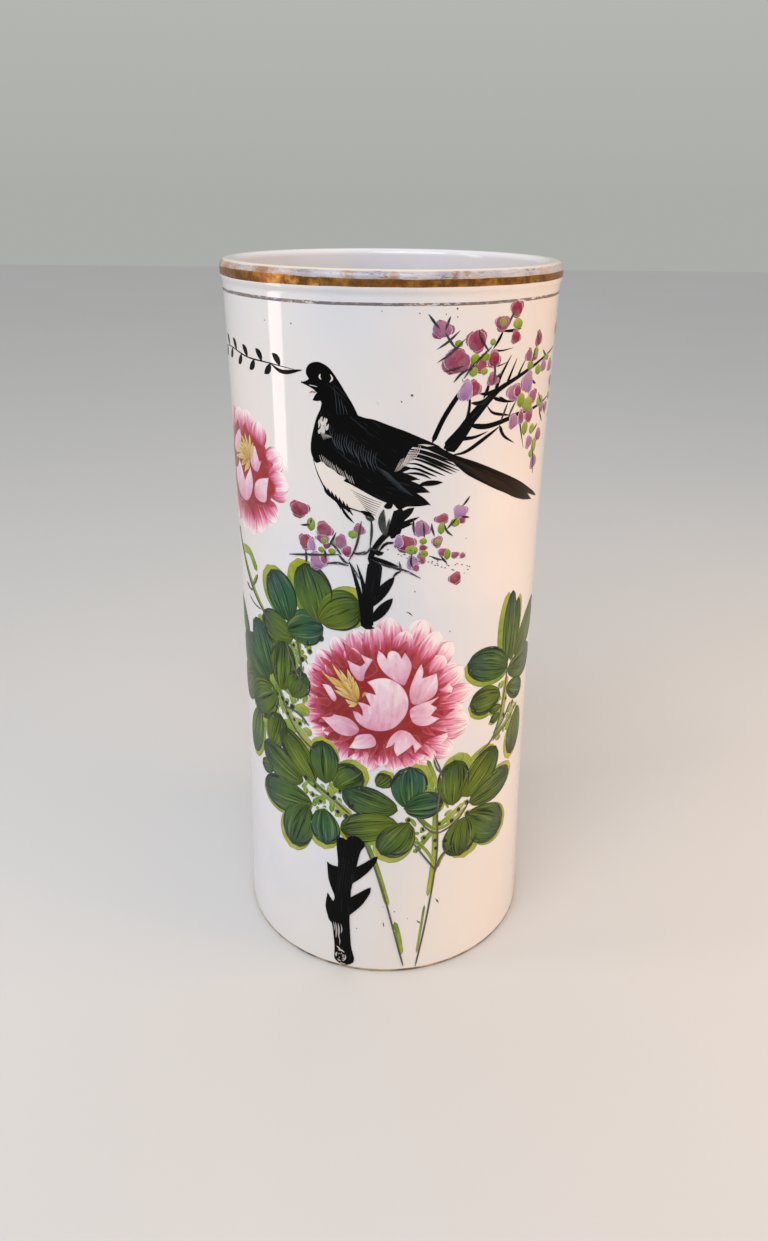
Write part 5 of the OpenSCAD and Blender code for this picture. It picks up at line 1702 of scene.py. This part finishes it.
    @staticmethod
    def legs(wall: Wall) -> Motif:
        """Draws the legs and feet on the perch."""
        motif = Motif("magpie_legs", wall, 35)
        for line, width in (
                (((-6.2, 201.6), (-5.8, 197), (-6.4, 190)), 0.9),
                (((-8, 201.6), (-6, 200.6), (-5, 200.6)), 1.6),
                (((-1.8, 204.2), (-2.4, 200), (-1.5, 195)), 2.6),
                (((0.2, 201), (-0.6, 197), (-1, 194.6)), 0.9),
                (((-6.4, 190.6), (-7.6, 188.4), (-9.6, 187.8)), 0.7),
                (((-6.4, 190.4), (-4.4, 189.6), (-3, 191.4)), 0.8)):
            motif.stroke(line, width, Form.REED, 0.3)
        return motif

    @staticmethod
    def tongue(wall: Wall) -> Motif:
        """Draws the tongue and the lining of the beak."""
        motif = Motif("magpie_tongue", wall, 36)
        motif.stroke([(-27.4, 241.7), (-26, 242.2), (-24.3, 241.9)], 0.8, Form.REED, 0.3)
        motif.stroke([(-27, 244.3), (-25.4, 244.1), (-24.2, 243.9)], 0.3, Form.REED, 1.0)
        return motif

    def build(self, wall: Wall, enamels: dict) -> None:
        """Paints and dresses the bird.

        Args:
            wall: The wall it is painted on.
            enamels: The materials by slot.
        """
        lay(self.pale(wall), enamels, "white_enamel", "bird_belly")
        lay(self.long_tail(wall), enamels, "brown_enamel", "bird_tail")
        lay(self.plumage(wall), enamels, "black_enamel", "bird_plumage")
        lay(self.highlights(wall), enamels, "white_enamel")
        lay(self.legs(wall), enamels, "grey_enamel", "bird_legs")
        lay(self.tongue(wall), enamels, "red_enamel", "bird_tongue")


# Studio ---------------------------------------------------------------------------


@dataclass
class Studio:
    """A plain pale floor, soft light and the camera."""

    floor_size: float = 8.0
    floor_colour: str = "cdcdcc"
    floor_shade: str = "c8c8c6"
    air_low: str = "c3c6c0"
    air_high: str = "f4f4f6"
    air_strength: float = 0.75
    camera_at: tuple = (-0.0013, -0.3604, 0.3010)
    pitch: float = 24.64
    roll: float = 0.60
    lens: float = 27.04
    sensor: float = 36.0

    def floor(self) -> None:
        """Lays the floor, with a fine eggshell grain."""
        deselect()
        bpy.ops.mesh.primitive_grid_add(x_subdivisions=8, y_subdivisions=8, size=self.floor_size)
        piece = newest("studio_floor")
        tree = Tree("studio_paper")
        tone = tree.mix(tree.noise(tree.place(), 3, 2), paint(self.floor_colour), paint(self.floor_shade))
        finish = tree.finish({"Base Color": tone, "Roughness": 0.75, "Specular IOR Level": 0.2})
        piece.data.materials.append(finish)

    def sky(self) -> None:
        """Fills the room with soft light, paler above than round about."""
        world = bpy.data.worlds.new("studio_air")
        bpy.context.scene.world = world
        world.use_nodes = True
        nodes, links = world.node_tree.nodes, world.node_tree.links
        nodes.clear()
        place = nodes.new("ShaderNodeTexCoord")
        split = nodes.new("ShaderNodeSeparateXYZ")
        ramp = nodes.new("ShaderNodeValToRGB")
        air = nodes.new("ShaderNodeBackground")
        out = nodes.new("ShaderNodeOutputWorld")
        low, high = ramp.color_ramp.elements
        low.color, high.color = paint(self.air_low), paint(self.air_high)
        high.position = 0.9
        links.new(place.outputs["Generated"], split.inputs[0])
        links.new(split.outputs[2], ramp.inputs[0])
        links.new(ramp.outputs[0], air.inputs[0])
        air.inputs[1].default_value = self.air_strength
        links.new(air.outputs[0], out.inputs[0])

    @staticmethod
    def lamp(name: str, at: tuple, aim: tuple, size: Point, power: float, colour: str,
             gleam: bool = True) -> None:
        """Hangs a softbox.

        Args:
            name: Name of the lamp.
            at: Its place.
            aim: The point that it faces.
            size: Its width and height.
            power: Its watts.
            colour: Its colour.
            gleam: Whether it shows as a reflection.
        """
        deselect()
        turn = (Vector(aim) - Vector(at)).to_track_quat("-Z", "Y").to_euler()
        bpy.ops.object.light_add(type="AREA", location=at, rotation=turn)
        light = bpy.context.active_object
        light.name = name
        light.data.shape = "RECTANGLE"
        light.data.size, light.data.size_y = size
        light.data.energy = power
        light.data.color = paint(colour)[:3]
        light.visible_camera = False
        light.visible_glossy = gleam

    def light(self) -> None:
        """Hangs a broad softbox overhead, a narrow one at the left and a warm one at the right."""
        self.lamp("top_softbox", (-0.35, -1.0, 1.5), (0, 0, 0.15), (1.4, 1.0), 17.0, "f6f9ff")
        self.lamp("window_strip", (-0.40, -0.09, 0.40), (0, -0.02, 0.33), (0.085, 0.62), 0.62, "ffe8e2")
        self.lamp("warm_softbox", (0.70, -0.17, 0.30), (0, 0, 0.09), (0.4, 0.4), 3.4, "ffc488", gleam=False)

    def camera(self) -> None:
        """Places the camera."""
        deselect()
        tilt = Matrix.Rotation(math.radians(90 - self.pitch), 3, "X")
        turn = tilt @ Matrix.Rotation(math.radians(self.roll), 3, "Z")
        bpy.ops.object.camera_add(location=self.camera_at, rotation=turn.to_euler())
        view = bpy.context.active_object
        view.name = "front_camera"
        view.data.lens = self.lens
        view.data.sensor_width = self.sensor
        view.data.sensor_fit = "AUTO"
        view.data.clip_start = 0.01
        bpy.context.scene.camera = view

    def build(self) -> None:
        """Sets the whole studio up."""
        self.camera()
        self.floor()
        self.sky()
        self.light()
        bpy.context.scene.view_settings.view_transform = "Standard"


def palette(glaze: Glaze) -> dict:
    """Mixes the enamels.

    Args:
        glaze: The glaze under them.

    Returns:
        The materials by slot.
    """
    peony = PeonyPaint()
    enamels = (
        peony.pink, peony.crimson, peony.pale, peony.yellow,
        Enamel("black_enamel", ((0.0, "070708"), (1.0, "0b0b0c")), ((0.0, "101214"), (1.0, "181b1e")),
               hairs=14, stretch=0.8, light="30363c", light_share=0.4, light_at=0.6, blot=0.0,
               gloss=0.06, roughness=0.28),
        Enamel("brown_enamel",
               ((0.0, "0b0b0c"), (0.3, "0e0d0d"), (0.5, "1c1410"), (0.75, "281c13"), (1.0, "1e1610")),
               ((0.0, "222628"), (0.5, "2a1e15"), (1.0, "30241a")), hairs=14, stretch=0.4, light="392b1e",
               light_share=0.3, light_at=0.58, blot=0.0, gloss=0.08, roughness=0.28),
        Enamel("white_enamel", ((0.0, "e2dcd4"), (0.5, "e4dad0"), (1.0, "dcd8d6")),
               ((0.0, "2a3036"), (1.0, "333b43")), hairs=10, ragged=0.5, blot=0.05, gloss=0.2,
               roughness=0.25),
        Enamel("grey_enamel", ((0.0, "1b1e20"), (1.0, "25292b")), ((0.0, "3a3e3c"), (1.0, "4c514c")),
               hairs=14, dry=0.12, blot=0.05, gloss=0.2, roughness=0.3),
        Enamel("red_enamel", ((0.0, "c2525a"), (1.0, "a83a42")), ((0.0, "5c2024"), (1.0, "4a1a1c")),
               hairs=10, soft_mm=0.2),
        Enamel("ruby_enamel", ((0.0, "701a34"), (0.5, "82203e"), (1.0, "963a58")),
               ((0.0, "86609a"), (0.5, "9878a8"), (1.0, "ab84a8")), hairs=6, stretch=3, ragged=0.55,
               light="b4708c", light_share=0.2, light_at=0.6, rim="94709c", rim_share=0.4, rim_mm=0.9,
               soft_mm=0.25, blot=0.15, gloss=0.3, roughness=0.2),
        Enamel("lime_enamel", ((0.0, "587e08"), (0.5, "70920e"), (1.0, "929a1c")),
               ((0.0, "5c7c14"), (0.5, "86982c"), (1.0, "a8a83c")), hairs=10, soft_mm=0.12,
               rim="4c6010", rim_share=0.3, rim_mm=0.9, light="bcc468", light_share=0.2, light_at=0.6,
               gloss=0.16, roughness=0.2, blot=0.15))
    return {enamel.slot: enamel.make(glaze) for enamel in enamels}


def main() -> None:
    """Builds the vase piece by piece."""
    Studio().build()
    pot = Pot()
    glaze = Glaze()
    pot.build(glaze, BareClay())
    wall = Wall(pot)
    enamels = palette(glaze)
    SIDE_PEONY.build(wall, enamels)
    FRONT_PEONY.build(wall, enamels)
    Foliage().build(wall, glaze, enamels)
    PlumTree().build(wall, enamels)
    Magpie().build(wall, enamels)
    InkSprig().build(wall, enamels)
    Blemishes().build(wall, enamels)
    Gilding(pot).build(glaze)


if __name__ == "__main__":
    main()
